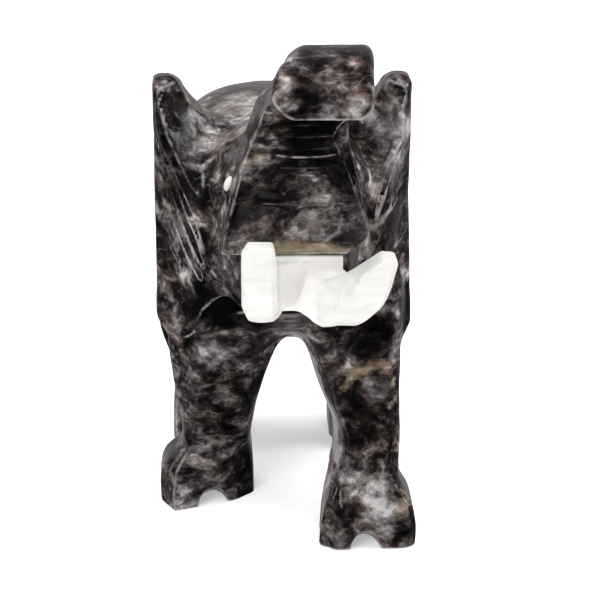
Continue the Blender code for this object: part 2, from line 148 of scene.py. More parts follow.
# Nose's flat front, and the steps across it: height, left and right ends, how deep each is
NOSE_FRONT = -38.5
WRINKLES = [
    (122.4, -3, 12, 0.6), (119.4, -4.4, 13.6, 0.9), (114.2, -5, 14, 1.2), (111.4, -6.6, 14.6, 0.8),
    (107.2, -4, 14, 0.5), (101.7, -10, 18.2, 0.9), (104.6, -8.6, 8, 0.4),
]

# Front legs: height, left, right, front, back, then the corners cut off across and along: in
# front on the left, in front on the right, and at the back
LEGS = {
    "front_right": [
        (2, -28.6, -8.9, 8, 23, 4, 4, 5, 5, 4), (12, -28.6, -8.9, 6, 23, 4, 5, 4.6, 5, 4),
        (22, -28.9, -8.6, 2.4, 24, 3.6, 6, 2.2, 4, 4), (33, -30.6, -6.4, -1, 25.5, 5.2, 8, 3.2, 6, 5),
        (46, -32.2, -2, -4, 27, 9, 10, 7, 8, 6), (52, -32.6, 1, -5.2, 27.5, 10.6, 11, 10, 9, 6),
        (58, -33, 3, -6.5, 28, 11, 11, 11, 10, 6), (68, -32, -2, -4, 27, 10, 10, 8, 8, 6),
    ],
    "front_left": [
        (2, 10.6, 31.4, -25, -6, 1, 10, 4, 5, 4), (12, 11.4, 31.4, -25, -4, 1.4, 12, 4, 5, 4),
        (18, 12.4, 31.4, -23.5, -1, 2.4, 13, 4, 5, 4), (27, 13.6, 32.2, -20, 4, 3, 14, 4, 6, 4),
        (37, 9.8, 32.4, -15, 10, 3.6, 15, 4, 6, 4), (47, 6, 33, -10.5, 17, 4.4, 17, 4.4, 6, 5),
        (53, 2.6, 33.2, -9, 19, 5, 17, 4.6, 6, 6), (58, -1.4, 33.5, -8, 21, 5, 16, 5, 6, 6),
        (68, 4, 33, -5, 24, 5, 10, 5, 6, 6),
    ],
}
# Hind legs: height, front, back, corners cut off across, in front and at the back, and then
# the left and right of each leg at those heights
HIND = [
    (2, 53, 76, 4, 4, 5), (12, 53, 75, 4, 4, 5), (25, 50, 74, 5, 5, 6), (31, 47.5, 76.5, 6, 6, 7),
    (38, 45, 80, 7, 8, 8), (47, 43, 83, 8, 9, 9), (58, 43, 84.5, 9, 10, 10), (70, 47, 80, 9, 10, 12),
    (86, 54, 64, 3, 3, 3),
]
HIND_SIDES = {
    "hind_right": [(-31.2, -10), (-31.2, -10), (-31.6, -9.5), (-33.8, -9), (-35.8, -8),
                   (-36.1, -6), (-35.8, -4), (-33.8, -6), (-20, -8)],
    "hind_left": [(17, 34.6), (16.5, 34.6), (13.5, 34.8), (9, 35), (6.5, 35.6),
                  (5, 36), (4, 35.6), (6, 33.8), (8, 20)],
}
for name, sides in HIND_SIDES.items():
    LEGS[name] = [
        (up, *side, front, back, across, ahead, across, ahead, rear)
        for side, (up, front, back, across, ahead, rear) in zip(sides, HIND)
    ]

# Feet: the outline of the sole, how far its inner side leans over, and the notch's middle
FEET = {
    "front_right": ([(-31.4, -1.3), (-15.9, 4.6), (-8.9, 12.4), (-8.9, 21),
                     (-12, 24.5), (-32, 24.5), (-FLANK, 21), (-FLANK, 7.5)], 0, (-20.2, 3)),
    "front_left": ([(8.6, -25.7), (13, -30.1), (33, -29.4), (FLANK, -26.8),
                    (FLANK, -7), (32, -3.5), (15, -3.5), (10.4, -8)], 1.2, (21.4, -29.8)),
    "hind_right": ([(-31.4, 47.5), (-28.5, 44.5), (-13, 44.5), (-9.6, 47.5),
                    (-9.6, 74), (-12.5, 77), (-28.5, 77), (-31.4, 74)], 0, (-20.5, 44.5)),
    "hind_left": ([(16.8, 47.5), (19.5, 44.5), (33, 44.5), (FLANK, 47.5),
                   (FLANK, 74), (33, 77), (19.5, 77), (16.8, 74)], 0, (26.2, 44.5)),
}
# Heights of a foot's shoulder and crown, how far its crown lies within the leg, and the half
# width, height and depth of the notch between its toes
SHOULDER, CROWN, CROWN_INSET = 12, 17.5, 2.2
NOTCH_HALF, NOTCH_HEIGHT, NOTCH_DEPTH = 4.0, 5.2, 10.5

# Tail lying on the rump: height, left, right, front, back
TAIL = [
    (101, -2.4, 2.4, 66, 80), (94, -2.8, 2.8, 72, 86), (84, -2.6, 2.6, 76, 89.2),
    (72, -2.4, 2.4, 76, 89.8), (60, -2.4, 2.4, 74, 88.8), (52, -3.4, 3.4, 72, 87), (47, -1.6, 1.6, 72, 84),
]

# Tusks: middle of each section (across, along, up), half width, half height
TUSKS = [
    [(-6.8, -36.2, 79.8, 5.0, 6.6), (-7.3, -44, 78.2, 4.9, 6.6), (-7.7, -51, 80.8, 4.7, 6.2),
     (-8, -56.4, 87, 4.5, 5.2), (-8.1, -58.6, 97, 4.4, 3.4)],
    [(11, -36.2, 78, 4.6, 5.6), (12, -43, 76.1, 5.6, 6), (15.4, -49.8, 79, 5.2, 5.8),
     (20, -55.2, 85, 4.6, 5.3), (23.6, -58.6, 95, 3.6, 3.8)],
]
# How much is cut off the corners of the tusks' sections
TUSK_CUT = 1.5
# Flat cuts at the tips and under the right tusk: from and to across, from and to upwards,
# then a point (across, up) of the cut and the way that it faces
CUTS = [
    (-14, -2.5, 88, 98, -8, 96, 0, 1), (-14, -6, 88, 98, -12.5, 93.6, -0.79, 0.61),
    (-6, -2.5, 88, 98, -3.7, 93, 0.98, 0.2), (16, 30, 85, 98, 24, 92.8, 0, 1),
    (22, 30, 85, 98, 26, 92.8, 0.946, 0.325), (14.6, 24, 82, 98, 18.7, 89.6, -0.641, 0.767),
    (-14, -6, 67, 81, -11.9, 77.6, -0.938, -0.346), (-14, 0.5, 67, 79, -7.1, 72.1, -0.5, -0.866),
    (-9, -3.2, 67, 77, -7.1, 72.1, 0.395, -0.918),
]
# Web between the tusks: its lower front corner on the left and its upper back one
WEB = ((-5.1, -39.4, 72.5), (14.2, -26.6, 87.1))
# Wedges that fill the corners between the web and each tusk: corners (across, up), front
# and back, how much the front slants
WEDGES = [
    ([(-7.1, 71), (0.1, 74.1), (1.5, 74.2), (3.5, 86), (-7, 86)], -38, -36, -0.5),
    ([(1.4, 74.2), (3.6, 72.7), (6.6, 71.3), (8.6, 71), (10.6, 71.8), (13, 76), (13.2, 81.6), (4.6, 83.6)],
     -45.5, -38, 0.5),
    ([(12.8, 79), (20.5, 79), (22, 91.2), (20.4, 89.9), (18.8, 88.4), (17.1, 87), (15.2, 85.4), (13, 82.8)],
     -54.5, -50.4, 0),
]

# Grid of each stone, the triangles that it is thinned to, and the swell left by polishing:
# sizes, heights and seeds. Then how often the edges over a length are halved
BODY_GRID, BODY_FACES, BODY_SWELL = 0.55, 112000, [(11, 0.07, 3), (4.5, 0.02, 8)]
TUSK_GRID, TUSK_FACES, TUSK_SWELL = 0.34, 90000, [(6, 0.04, 5)]
HALVINGS, LONGEST_EDGE = 3, 1.9

# Eyes: middle, half width, half height and half thickness, how far each turns forward, and
# how far its upper end leans towards the trunk
EYES = {RIGHT: (-15.1, -25, 103), LEFT: (17.2, -25, 103)}
EYE_SIZE = (1.9, 2.15, 1.0)
EYE_TURN = math.radians(14)
EYE_LEAN = 0.55


def fuse(first, second, fillet):
    """The lesser of two distances, less a parabola over the fillet where both are near."""
    near = np.maximum(fillet - np.abs(first - second), 0)
    return np.minimum(first, second) - near * near * (0.25 / fillet)


def meet(first, second, round_over):
    """The greater of two distances, with the arris between them rounded over."""
    return -fuse(-first, -second, round_over)


def read_rows(rows, places):
    """Values of a table at any places: on cubics whose slope at a row is the mean of its
    neighbours' slopes."""
    rows = np.array(rows, float)
    key, value = rows[:, 0], rows[:, 1:]
    places = np.clip(np.ravel(places), key[0], key[-1])
    index = np.clip(np.searchsorted(key, places) - 1, 0, len(key) - 2)
    span = (key[index + 1] - key[index])[:, None]
    part = (places[:, None] - key[index][:, None]) / span
    low, high = value[index], value[index + 1]
    slope = np.gradient(value, key, axis=0)
    rise = (2 * part ** 3 - 3 * part ** 2 + 1) * low + (3 * part ** 2 - 2 * part ** 3) * high
    bend = (part ** 3 - 2 * part ** 2 + part) * slope[index] + (part ** 3 - part ** 2) * slope[index + 1]
    return (rise + bend * span).astype(np.float32)


def oval(u, v, half_u, half_v, squareness):
    """Distance from a superellipse: the root of |u|^n + |v|^n less 1, over its own slope."""
    u, v = np.abs(u) + 1e-4, np.abs(v) + 1e-4
    slope_u, slope_v = u ** (squareness - 1), v ** (squareness - 1)
    size = (slope_u * u + slope_v * v) ** (1 / squareness)
    steep = np.sqrt((slope_u / half_u) ** 2 + (slope_v / half_v) ** 2) * size ** (1 - squareness)
    return (size - 1) / steep


class Block:
    """A block of stone on a grid: the distance from its surface at each place, in millimetres,
    below zero in the stone."""

    def __init__(self, low, high, step):
        self.low, self.high, self.step = np.array(low, float), np.array(high, float), step
        counts = np.ceil((self.high - self.low) / step).astype(int) + 1
        self.field = np.full(counts, 9, np.float32)

    def window(self, low, high):
        """The part of the grid between two corners, with its places along each axis."""
        first = np.clip(np.floor((np.array(low) - self.low) / self.step).astype(int), 0, None)
        last = np.minimum(np.ceil((np.array(high) - self.low) / self.step).astype(int) + 1, self.field.shape)
        x, y, z = [
            (self.low[axis] + self.step * np.arange(first[axis], last[axis])).astype(np.float32)
            for axis in range(3)
        ]
        part = tuple(slice(a, b) for a, b in zip(first, last))
        return part, x[:, None, None], y[None, :, None], z[None, None, :]

    def add(self, low, high, shape, fillet):
        """Adds a shape of stone, filleted where it meets what is there."""
        part, x, y, z = self.window(low, high)
        self.field[part] = fuse(self.field[part], shape(x, y, z), fillet)

    def carve(self, low, high, shape, round_over):
        """Cuts a shape away, with its edges rounded over."""
        part, x, y, z = self.window(low, high)
        self.field[part] = meet(self.field[part], -shape(x, y, z), round_over)

    def read(self, points):
        """The field at any points, mixed from the eight grid places round each."""
        places = (points - self.low) / self.step
        cell = np.clip(places.astype(int), 0, np.array(self.field.shape) - 2)
        part = np.clip(places - cell, 0, 1)
        total = np.zeros(len(points))
        for corner in range(8):
            offset = np.array([corner & 1, corner >> 1 & 1, corner >> 2 & 1])
            weight = np.prod(np.where(offset, part, 1 - part), axis=1)
            i, j, k = (cell + offset).T
            total += weight * self.field[i, j, k]
        return total

    def slope(self, points, reach):
        """The field's slope at points, from its differences over a reach each way."""
        sides = []
        for axis in range(3):
            offset = np.zeros(3)
            offset[axis] = reach
            sides.append((self.read(points + offset) - self.read(points - offset)) / (2 * reach))
        return np.stack(sides, axis=1)

    def settle(self, points, rounds):
        """Points moved onto the surface, along the field's slope."""
        for _ in range(rounds):
            slope = self.slope(points, self.step * 0.5)
            length = np.maximum((slope ** 2).sum(1), 0.05)
            move = np.clip(self.read(points) / length, -self.step, self.step)
            points = points - slope * move[:, None]
        return points

    def bend(self, points, reach):
        """How sharply the surface bends over a reach: above zero on an arris, below in a cut."""
        total = -6 * self.read(points)
        for axis in range(3):
            offset = np.zeros(3)
            offset[axis] = reach
            total += self.read(points + offset) + self.read(points - offset)
        return total / reach

    def skin(self):
        """The zero surface: one point in each cell that it passes through, at the mean of its
        crossings of the cell's twelve edges, and one four-sided face round each grid edge
        that it crosses."""
        field = self.field
        inside = field < 0
        corners = [(c & 1, c >> 1 & 1, c >> 2 & 1) for c in range(8)]
        total = np.zeros(np.array(field.shape) - 1, np.int8)
        for corner in corners:
            total += inside[tuple(slice(o, s - 1 + o) for o, s in zip(corner, field.shape))]
        cells = np.argwhere((total > 0) & (total < 8))
        number = np.full(total.shape, -1, np.int32)
        number[tuple(cells.T)] = np.arange(len(cells))
        values = [field[tuple((cells + corner).T)] for corner in corners]
        place = np.zeros((len(cells), 3))
        hits = np.zeros(len(cells))
        for a, one in enumerate(corners):
            for b, other in enumerate(corners):
                if b > a and sum(abs(p - q) for p, q in zip(one, other)) == 1:
                    crossed = (values[a] < 0) != (values[b] < 0)
                    part = values[a][crossed] / (values[a][crossed] - values[b][crossed])
                    start, end = np.array(one, float), np.array(other, float)
                    place[crossed] += start + (end - start) * part[:, None]
                    hits += crossed
        points = self.low + self.step * (cells + place / hits[:, None])
        faces = []
        for axis in range(3):
            u, v = (axis + 1) % 3, (axis + 2) % 3
            ahead = [slice(None)] * 3
            behind = [slice(None)] * 3
            ahead[axis], behind[axis] = slice(1, None), slice(None, -1)
            leaving = inside[tuple(behind)]
            spots = np.argwhere(leaving != inside[tuple(ahead)])
            unit = np.eye(3, dtype=int)
            ring = [spots - unit[u] - unit[v], spots - unit[v], spots, spots - unit[u]]
            quads = np.stack([number[tuple(spot.T)] for spot in ring], axis=1)
            turned = ~leaving[tuple(spots.T)]
            quads[turned] = quads[turned][:, ::-1]
            faces.append(quads)
        return points, np.concatenate(faces)


def within(value, low, high):
    """Distance outside a range along one axis."""
    return np.maximum(low - value, value - high)


def barrel(x, y, z):
    """Superellipses across the body, from the chest to the rump."""
    left, right, bottom, top, square = [v[None, :, None] for v in read_rows(BARREL, y).T]
    across, upward = (right - left) / 2, (top - bottom) / 2
    side = oval((x - (left + right) / 2) / across, (z - (bottom + top) / 2) / upward, across, upward, square)
    return meet(side, within(y, BARREL[0][0], BARREL[-1][0]), 4)


def head(x, y, z):
    """Superellipses in sections that are wider at the jaw than at the brow."""
    bottom, top, low_l, low_r, high_l, high_r, square = [v[None, :, None] for v in read_rows(HEAD, y).T]
    upward = (top - bottom) / 2
    v = (z - (bottom + top) / 2) / upward
    share = np.clip((1 + v) / 2, 0, 1)
    left, right = low_l + (high_l - low_l) * share, low_r + (high_r - low_r) * share
    across = (right - left) / 2
    side = oval((x - (left + right) / 2) / across, v, across, upward, square)
    return meet(side, within(y, HEAD[0][0], HEAD[-1][0]), 2)


def nose(x, y, z):
    """Rounded boxes on a fan of planes: each place takes the plane through it, between the
    front and the back edge, and its share of the way along that plane."""
    count = 72
    rows = [(index, *row) for index, row in enumerate(NOSE)]
    fine = read_rows(rows, np.linspace(0, len(NOSE) - 1, count))
    front, back = fine[:, 0:2], fine[:, 2:4]
    normal = np.stack([-(back - front)[:, 1], (back - front)[:, 0]], axis=1)
    normal /= np.linalg.norm(normal, axis=1)[:, None]
    flat_y, flat_z = np.broadcast_arrays(y[0], z[0])

    def past(plane):
        """How far each place is past one of the planes."""
        gap_y, gap_z = flat_y - front[plane, 0], flat_z - front[plane, 1]
        return gap_y * normal[plane, 0] + gap_z * normal[plane, 1]

    best = np.full(flat_y.shape, FAR, np.float32)
    where, share = np.zeros(flat_y.shape, np.float32), np.zeros(flat_y.shape, np.float32)
    ahead = past(0)
    start = -ahead
    for index in range(count - 1):
        after = past(index + 1)
        held = (ahead >= 0) & (after < 0)
        held |= (index == 0) & (ahead < 0)
        held |= (index == count - 2) & (after >= 0)
        part = np.clip(ahead / np.maximum(ahead - after, 1e-6), 0, 1)
        base = front[index] + (front[index + 1] - front[index]) * part[..., None]
        over = back[index] + (back[index + 1] - back[index]) * part[..., None] - base
        along = (flat_y - base[..., 0]) * over[..., 0] + (flat_z - base[..., 1]) * over[..., 1]
        along = along / (over ** 2).sum(-1)
        off = np.abs(along - 0.5)
        better = held & (off < best)
        best = np.where(better, off, best)
        where = np.where(better, index + part, where)
        share = np.where(better, along, share)
        ahead = after
    end = ahead
    at = np.arange(count)
    values = [np.interp(where, at, fine[:, column]).astype(np.float32) for column in range(4, 12)]
    depth = np.interp(where, at, np.linalg.norm(back - front, axis=1)).astype(np.float32) / 2
    front_l, front_r, back_l, back_r, corner, cut_r, cut_l, cut_back = values
    inner = np.clip(share, 0, 1)
    left, right = front_l + (back_l - front_l) * inner, front_r + (back_r - front_r) * inner
    over_x = np.abs(x - ((left + right) / 2)[None]) - ((right - left) / 2 - corner)[None]
    over_d = (np.abs(share - 0.5) * 2 * depth - depth + corner)[None]
    side = np.sqrt(np.maximum(over_x, 0) ** 2 + np.maximum(over_d, 0) ** 2)
    side = side + np.minimum(np.maximum(over_x, over_d), 0) - corner[None]
    side = meet(side, (x + (cut_r - right - share * 2 * depth)[None]) * DIAGONAL, 0.5)
    side = meet(side, ((left + cut_l - share * 2 * depth)[None] - x) * DIAGONAL, 1.6)
    side = meet(side, ((left + cut_back - (1 - share) * 2 * depth)[None] - x) * DIAGONAL, 1.6)
    side = meet(side, np.broadcast_to(start[None], side.shape), 0.4)
    return meet(side, np.broadcast_to(end[None], side.shape), 0.9)


def facets(u, v, corners, round_over):
    """Distance from a convex outline: the greatest of the distances from its sides, each side
    a line between two corners. The outline is one for all places, or one for each height."""
    total = None
    for index in range(corners.shape[1]):
        start, end = corners[:, index], corners[:, (index + 1) % corners.shape[1]]
        edge = end - start
        edge = edge / np.maximum(np.linalg.norm(edge, axis=1), 1e-6)[:, None]
        out = np.stack([edge[:, 1], -edge[:, 0]], axis=1)
        offset = (out * start).sum(1)
        side = out[:, 0] * u + out[:, 1] * v - offset
        total = side if total is None else meet(total, side, round_over)
    return total


def leg(name):
    """Eight-sided sections of one leg: a box with its corners cut off by their own amounts."""
    rows = LEGS[name]

    def shape(x, y, z):
        values = read_rows(rows, z)
        left, right, front, back, fl_x, fl_y, fr_x, fr_y, rear = values.T
        corners = np.stack([
            np.stack([left + fl_x, front], 1), np.stack([right - fr_x, front], 1),
            np.stack([right, front + fr_y], 1), np.stack([right, back - rear], 1),
            np.stack([right - rear, back], 1), np.stack([left + rear, back], 1),
            np.stack([left, back - rear], 1), np.stack([left, front + fl_y], 1),
        ], axis=1)
        return meet(facets(x, y, corners, 1.6), within(z, 0, rows[-1][0]), 1)
    return shape


def foot(name):
    """Block foot: its sole's outline straight up to the shoulder, then in to the crown."""
    outline, lean, _ = FEET[name]
    outline = np.array(outline, float)
    nearest = min(LEGS[name], key=lambda row: abs(row[0] - CROWN))
    left, right, front, back = nearest[1:5]
    shoulder = outline.copy()
    inner = np.abs(outline[:, 0]) < abs(left + right) / 2
    shoulder[inner, 0] += np.sign(outline[inner, 0]) * lean
    crown = outline.copy()
    crown[:, 0] = np.clip(crown[:, 0], left + CROWN_INSET, right - CROWN_INSET)
    crown[:, 1] = np.clip(crown[:, 1], front + CROWN_INSET, back - CROWN_INSET)
    crown = outline + (crown - outline) * 0.97
    lower = outline + (shoulder - outline) * 0.6
    eased = shoulder + (crown - shoulder) * 0.22
    rings = (0, outline), (SHOULDER - 5, lower), (SHOULDER, eased), (CROWN, crown)
    rows = [(up, *ring.ravel()) for up, ring in rings]

    def shape(x, y, z):
        corners = read_rows(rows, z).reshape(-1, len(outline), 2)
        return meet(facets(x, y, corners, 1.0), within(z, 0, CROWN), 0.5)
    return shape


def notch(name):
    """Scoop between the two toes: an arch that sinks as it runs back, and is gone at its end."""
    across, along = FEET[name][2]

    def shape(x, y, z):
        sunk = z + NOTCH_HEIGHT * (y - along) / NOTCH_DEPTH
        return (np.sqrt(((x - across) / NOTCH_HALF) ** 2 + (sunk / NOTCH_HEIGHT) ** 2) - 1) * 4
    return shape


def ear(side):
    """Six-sided sections of one ear, with the left one let down and spread towards its tip."""
    def shape(x, y, z):
        drop, spread = EAR_DROP[side], EAR_SPREAD[side]
        reach = EAR_MIDDLE - EAR[0][0]
        up = np.where(z < EAR_MIDDLE, (z + drop * EAR_MIDDLE / reach) / (1 + drop / reach), z)
        out = side * x / (1 + spread * np.clip((EAR_MIDDLE - up) / reach, 0, None))
        corners = read_rows(EAR, up).reshape(-1, 6, 2)
        return meet(facets(out, y, corners, 0.7), within(up, EAR[0][0], EAR[-1][0]), 1.6)
    return shape


def strand(points, side=1):
    """A chain of round-ended tapered rods through points, each with its own half width."""
    points = np.array(points, float)

    def shape(x, y, z):
        total = None
        for start, end in zip(points, points[1:]):
            run = end[:3] - start[:3]
            gap = (side * x - start[0], y - start[1], z - start[2])
            part = np.clip(sum(g * r for g, r in zip(gap, run)) / (run ** 2).sum(), 0, 1)
            away = np.sqrt(sum((g - r * part) ** 2 for g, r in zip(gap, run)))
            away = away - (start[3] + (end[3] - start[3]) * part)
            total = away if total is None else np.minimum(total, away)
        return total.astype(np.float32)
    low, high = points[:, :3].min(0) - 6, points[:, :3].max(0) + 6
    if side < 0:
        low[0], high[0] = -high[0], -low[0]
    return low, high, shape


def egg(middle, radii, rough):
    """An egg-shaped hollow with its own reach along each axis, and chisel marks of a depth."""
    def shape(x, y, z):
        parts = [(value - place) / radius for value, place, radius in zip((x, y, z), middle, radii)]
        size = np.sqrt(sum(part ** 2 for part in parts))
        marks = np.sin(x * 2.9 + z * 1.7) * np.sin(z * 3.3 - x * 1.2 + y)
        return ((size - 1) * min(radii) + rough * marks).astype(np.float32)
    return shape


def beyond_sides(x, y, z):
    """Everything outside the two sides that the saw left."""
    back = np.clip((y - 34) / 10, 0, 1)
    left = SAWN[RIGHT] + (SAWN_HAUNCH[RIGHT] - SAWN[RIGHT]) * back
    right = SAWN[LEFT] + (SAWN_HAUNCH[LEFT] - SAWN[LEFT]) * back
    return np.broadcast_to(np.minimum(x + left, right - x), np.broadcast_shapes(x.shape, y.shape, z.shape))


def face_steps(x, y, z):
    """Steps across the nose: each is deepest at its lip and runs out upwards."""
    depth = np.zeros(np.broadcast_shapes(x.shape, z.shape), np.float32)
    for up, left, right, deep in WRINKLES:
        middle, half = (left + right) / 2, (right - left) / 2
        rise = z - up - 0.9 * ((x - middle) / half) ** 2
        fall = np.where(rise > 0, np.exp(-np.abs(rise) / 1.3), np.exp(-(rise / 0.55) ** 2))
        ends = np.clip((half - np.abs(x - middle)) / 3.5, 0, 1)
        depth = np.maximum(depth, deep * fall * ends * ends * (3 - 2 * ends))
    return y - NOSE_FRONT - depth


def tail(x, y, z):
    """Rounded sections down the rump."""
    left, right, front, back = [v[None, None, :] for v in read_rows(TAIL[::-1], z).T]
    across, along = (right - left) / 2, (back - front) / 2
    side = oval((x - (left + right) / 2) / across, (y - (front + back) / 2) / along, across, along, 2.5)
    return meet(side, within(z, TAIL[-1][0], TAIL[0][0]), 1.5)


def carve_body():
    """The elephant's own stone."""
    stone = Block((-37.5, -58.5, -1.5), (38, 91.5, 143.5), BODY_GRID)
    stone.add((-38, -20, 34), (38, 91, 118), barrel, 1)
    stone.add((-28, -38, 54), (30, 26, 120), head, 6)
    stone.add((-22, -60, 84), (26, -8, 143.5), nose, 1.6)
    for side in (RIGHT, LEFT):
        low, high = sorted((side * 6, side * 38))
        stone.add((low, -18, 48), (high, 36, 128), ear(side), 5.5)
    for name in LEGS:
        rows = np.array(LEGS[name])
        low = (rows[:, 1].min() - 3, rows[:, 3].min() - 3, -1.5)
        high = (rows[:, 2].max() + 3, rows[:, 4].max() + 3, rows[-1, 0] + 2)
        stone.add(low, high, leg(name), 3 if "front" in name else 6)
    for name, (outline, _, _) in FEET.items():
        outline = np.array(outline)
        stone.add((*(outline.min(0) - 3), -1.5), (*(outline.max(0) + 3), 22), foot(name), 3.5)
    stone.add((-6, 60, 43), (6, 92, 105), tail, 2)
    stone.carve(*strand(HOLLOW), 1)
    stone.carve(stone.low, stone.high, beyond_sides, 0.8)
    for side in (RIGHT, LEFT):
        for middle, radii in PITS[side]:
            middle = np.array([side * middle[0], *middle[1:]])
            stone.carve(middle - 6, middle + 6, egg(middle, radii, 0.4), 0.9)
        for points in GROOVES[side]:
            low, high, groove = strand(points, side)
            stone.carve(low, high, groove, 0.35)
    stone.carve((-14, -42, 98), (20, -34, 124), face_steps, 0.2)
    for name, (_, _, (across, along)) in FEET.items():
        stone.carve((across - 7, along - 8, -1.5), (across + 7, along + 13, 9), notch(name), 0.5)
    return stone


def tusk(sections):
    """Four-sided section with cut corners, carried along a curve: each place takes the nearest
    point of the curve, and its distances to the side and upwards from there."""
    rows = [(index, *row) for index, row in enumerate(sections)]
    count = 60
    at = np.linspace(0, len(sections) - 1, count)
    fine = read_rows(rows, at).astype(float)
    middle = fine[:, :3]
    forward = np.gradient(middle, axis=0)
    forward /= np.linalg.norm(forward, axis=1)[:, None]
    right = np.array([1.0, 0, 0]) - forward * forward[:, :1]
    right /= np.linalg.norm(right, axis=1)[:, None]
    high = np.cross(right, forward)

    def shape(x, y, z):
        places = np.stack(np.broadcast_arrays(x, y, z), -1)
        best = np.full(places.shape[:3], FAR, np.float32)
        near = np.zeros(places.shape[:3], int)
        for index in range(count):
            away = ((places - middle[index]) ** 2).sum(-1)
            closer = away < best
            best[closer], near[closer] = away[closer], index
        gap = places - middle[near]
        past = (gap * forward[near]).sum(-1)
        across = np.abs((gap * right[near]).sum(-1)) - fine[near, 3]
        upward = np.abs((gap * high[near]).sum(-1)) - fine[near, 4]
        side = meet(across, upward, 0.2)
        side = meet(side, (across + upward + TUSK_CUT) * DIAGONAL, 0.2)
        end = np.where(near == count - 1, past, -past)
        return meet(side, np.where((near == 0) | (near == count - 1), end, -9), 0.3).astype(np.float32)
    return shape


def wedge(corners, front, back, slant):
    """A block with its corners on a convex outline seen from the front, its front at a slant."""
    corners = np.array(corners)[None]

    def shape(x, y, z):
        side = facets(x, z, corners, 0.2)
        return meet(side, np.maximum(front - slant * (x - 8) - y, y - back), 0.4)
    return shape


def carve_tusks():
    """Both tusks, the web between them and the tenon behind it, one white stone."""
    stone = Block((-14, -64.5, 67.5), (30, -25.5, 98), TUSK_GRID)

    def web(x, y, z):
        low, high = WEB
        sides = [within(value, a, b) for value, a, b in zip((x, y, z), low, high)]
        return meet(meet(sides[0], sides[1], 0.4), sides[2], 0.4)
    stone.add(stone.low, stone.high, web, 0.6)
    for sections in TUSKS:
        stone.add(stone.low, stone.high, tusk(sections), 0.3)
    for row in WEDGES:
        stone.add((-10, -56, 68), (24, -35, 94), wedge(*row), 2.2)
    for left, right, bottom, top, across, up, way_x, way_z in CUTS:
        stone.carve((left, -64.5, bottom), (right, -36, top),
                    lambda x, y, z: (across - x) * way_x + (up - z) * way_z + 0 * y, 0.3)
    return stone


def ripple(points, size, seed):
    """A smooth random swell: the mean of twenty waves of about one size, and its slope."""
    random = np.random.default_rng(seed)
    way = random.normal(size=(20, 3))
    way *= (2 * math.pi / size * random.uniform(0.7, 1.5, 20) / np.linalg.norm(way, axis=1))[:, None]
    phase = points @ way.T + random.uniform(0, 2 * math.pi, 20)
    return np.sin(phase).sum(1) / 4.5, (np.cos(phase) @ way) / 4.5


def drift(points, size, amount, seed):
    """Points moved by three swells, one along each axis."""
    return points + amount * np.stack([ripple(points, size, seed + axis)[0] for axis in range(3)], axis=1)


def new_mesh(name, points, faces):
    """A mesh from whole arrays of points and of faces with as many corners each."""
    mesh = bpy.data.meshes.new(name)
    sides = faces.shape[1]
    mesh.vertices.add(len(points))
    mesh.vertices.foreach_set("co", ((points + SHIFT) * 0.001).astype(np.float32).ravel())
    mesh.loops.add(faces.size)
    mesh.loops.foreach_set("vertex_index", faces.astype(np.int32).ravel())
    mesh.polygons.add(len(faces))
    mesh.polygons.foreach_set("loop_start", np.arange(0, faces.size, sides, dtype=np.int32))
    mesh.update(calc_edges=True)
    return mesh


def places_of(mesh):
    """The mesh's points, in millimetres of the carving's own frame."""
    flat = np.zeros(len(mesh.vertices) * 3, np.float32)
    mesh.vertices.foreach_get("co", flat)
    return flat.reshape(-1, 3).astype(float) * 1000 - SHIFT


def keep_values(mesh, name, values):
    """A number at each point of the mesh, for its material."""
    layer = mesh.attributes.new(name, "FLOAT", "POINT")
    layer.data.foreach_set("value", np.clip(values, -4, 4).astype(np.float32))


def new_piece(name, mesh, material, slot, *nodes):
    """A piece of the object, shaded smooth, in the place of its solids."""
    mesh.materials.append(material)
    mesh.shade_smooth()
    piece = bpy.data.objects.new(name, mesh)
    bpy.context.scene.collection.objects.link(piece)
    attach(piece, "root")
    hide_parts(*nodes)


def halve_edges(mesh, longest):
    """Halves each edge longer than this and cuts the faces beside it into triangles, so that a
    flat place has points enough to carry its marks."""
    points = places_of(mesh)
    ends = np.empty(len(mesh.edges) * 2, dtype=np.int32)
    mesh.edges.foreach_get("vertices", ends)
    length = np.linalg.norm(points[ends[0::2]] - points[ends[1::2]], axis=1)
    work = bmesh.new()
    work.from_mesh(mesh)
    work.edges.ensure_lookup_table()
    long = [work.edges[i] for i in np.nonzero(length > longest)[0]]
    bmesh.ops.subdivide_edges(work, edges=long, cuts=1)
    bmesh.ops.triangulate(work, faces=[face for face in work.faces if len(face.verts) > 3])
    work.to_mesh(mesh)
    work.free()


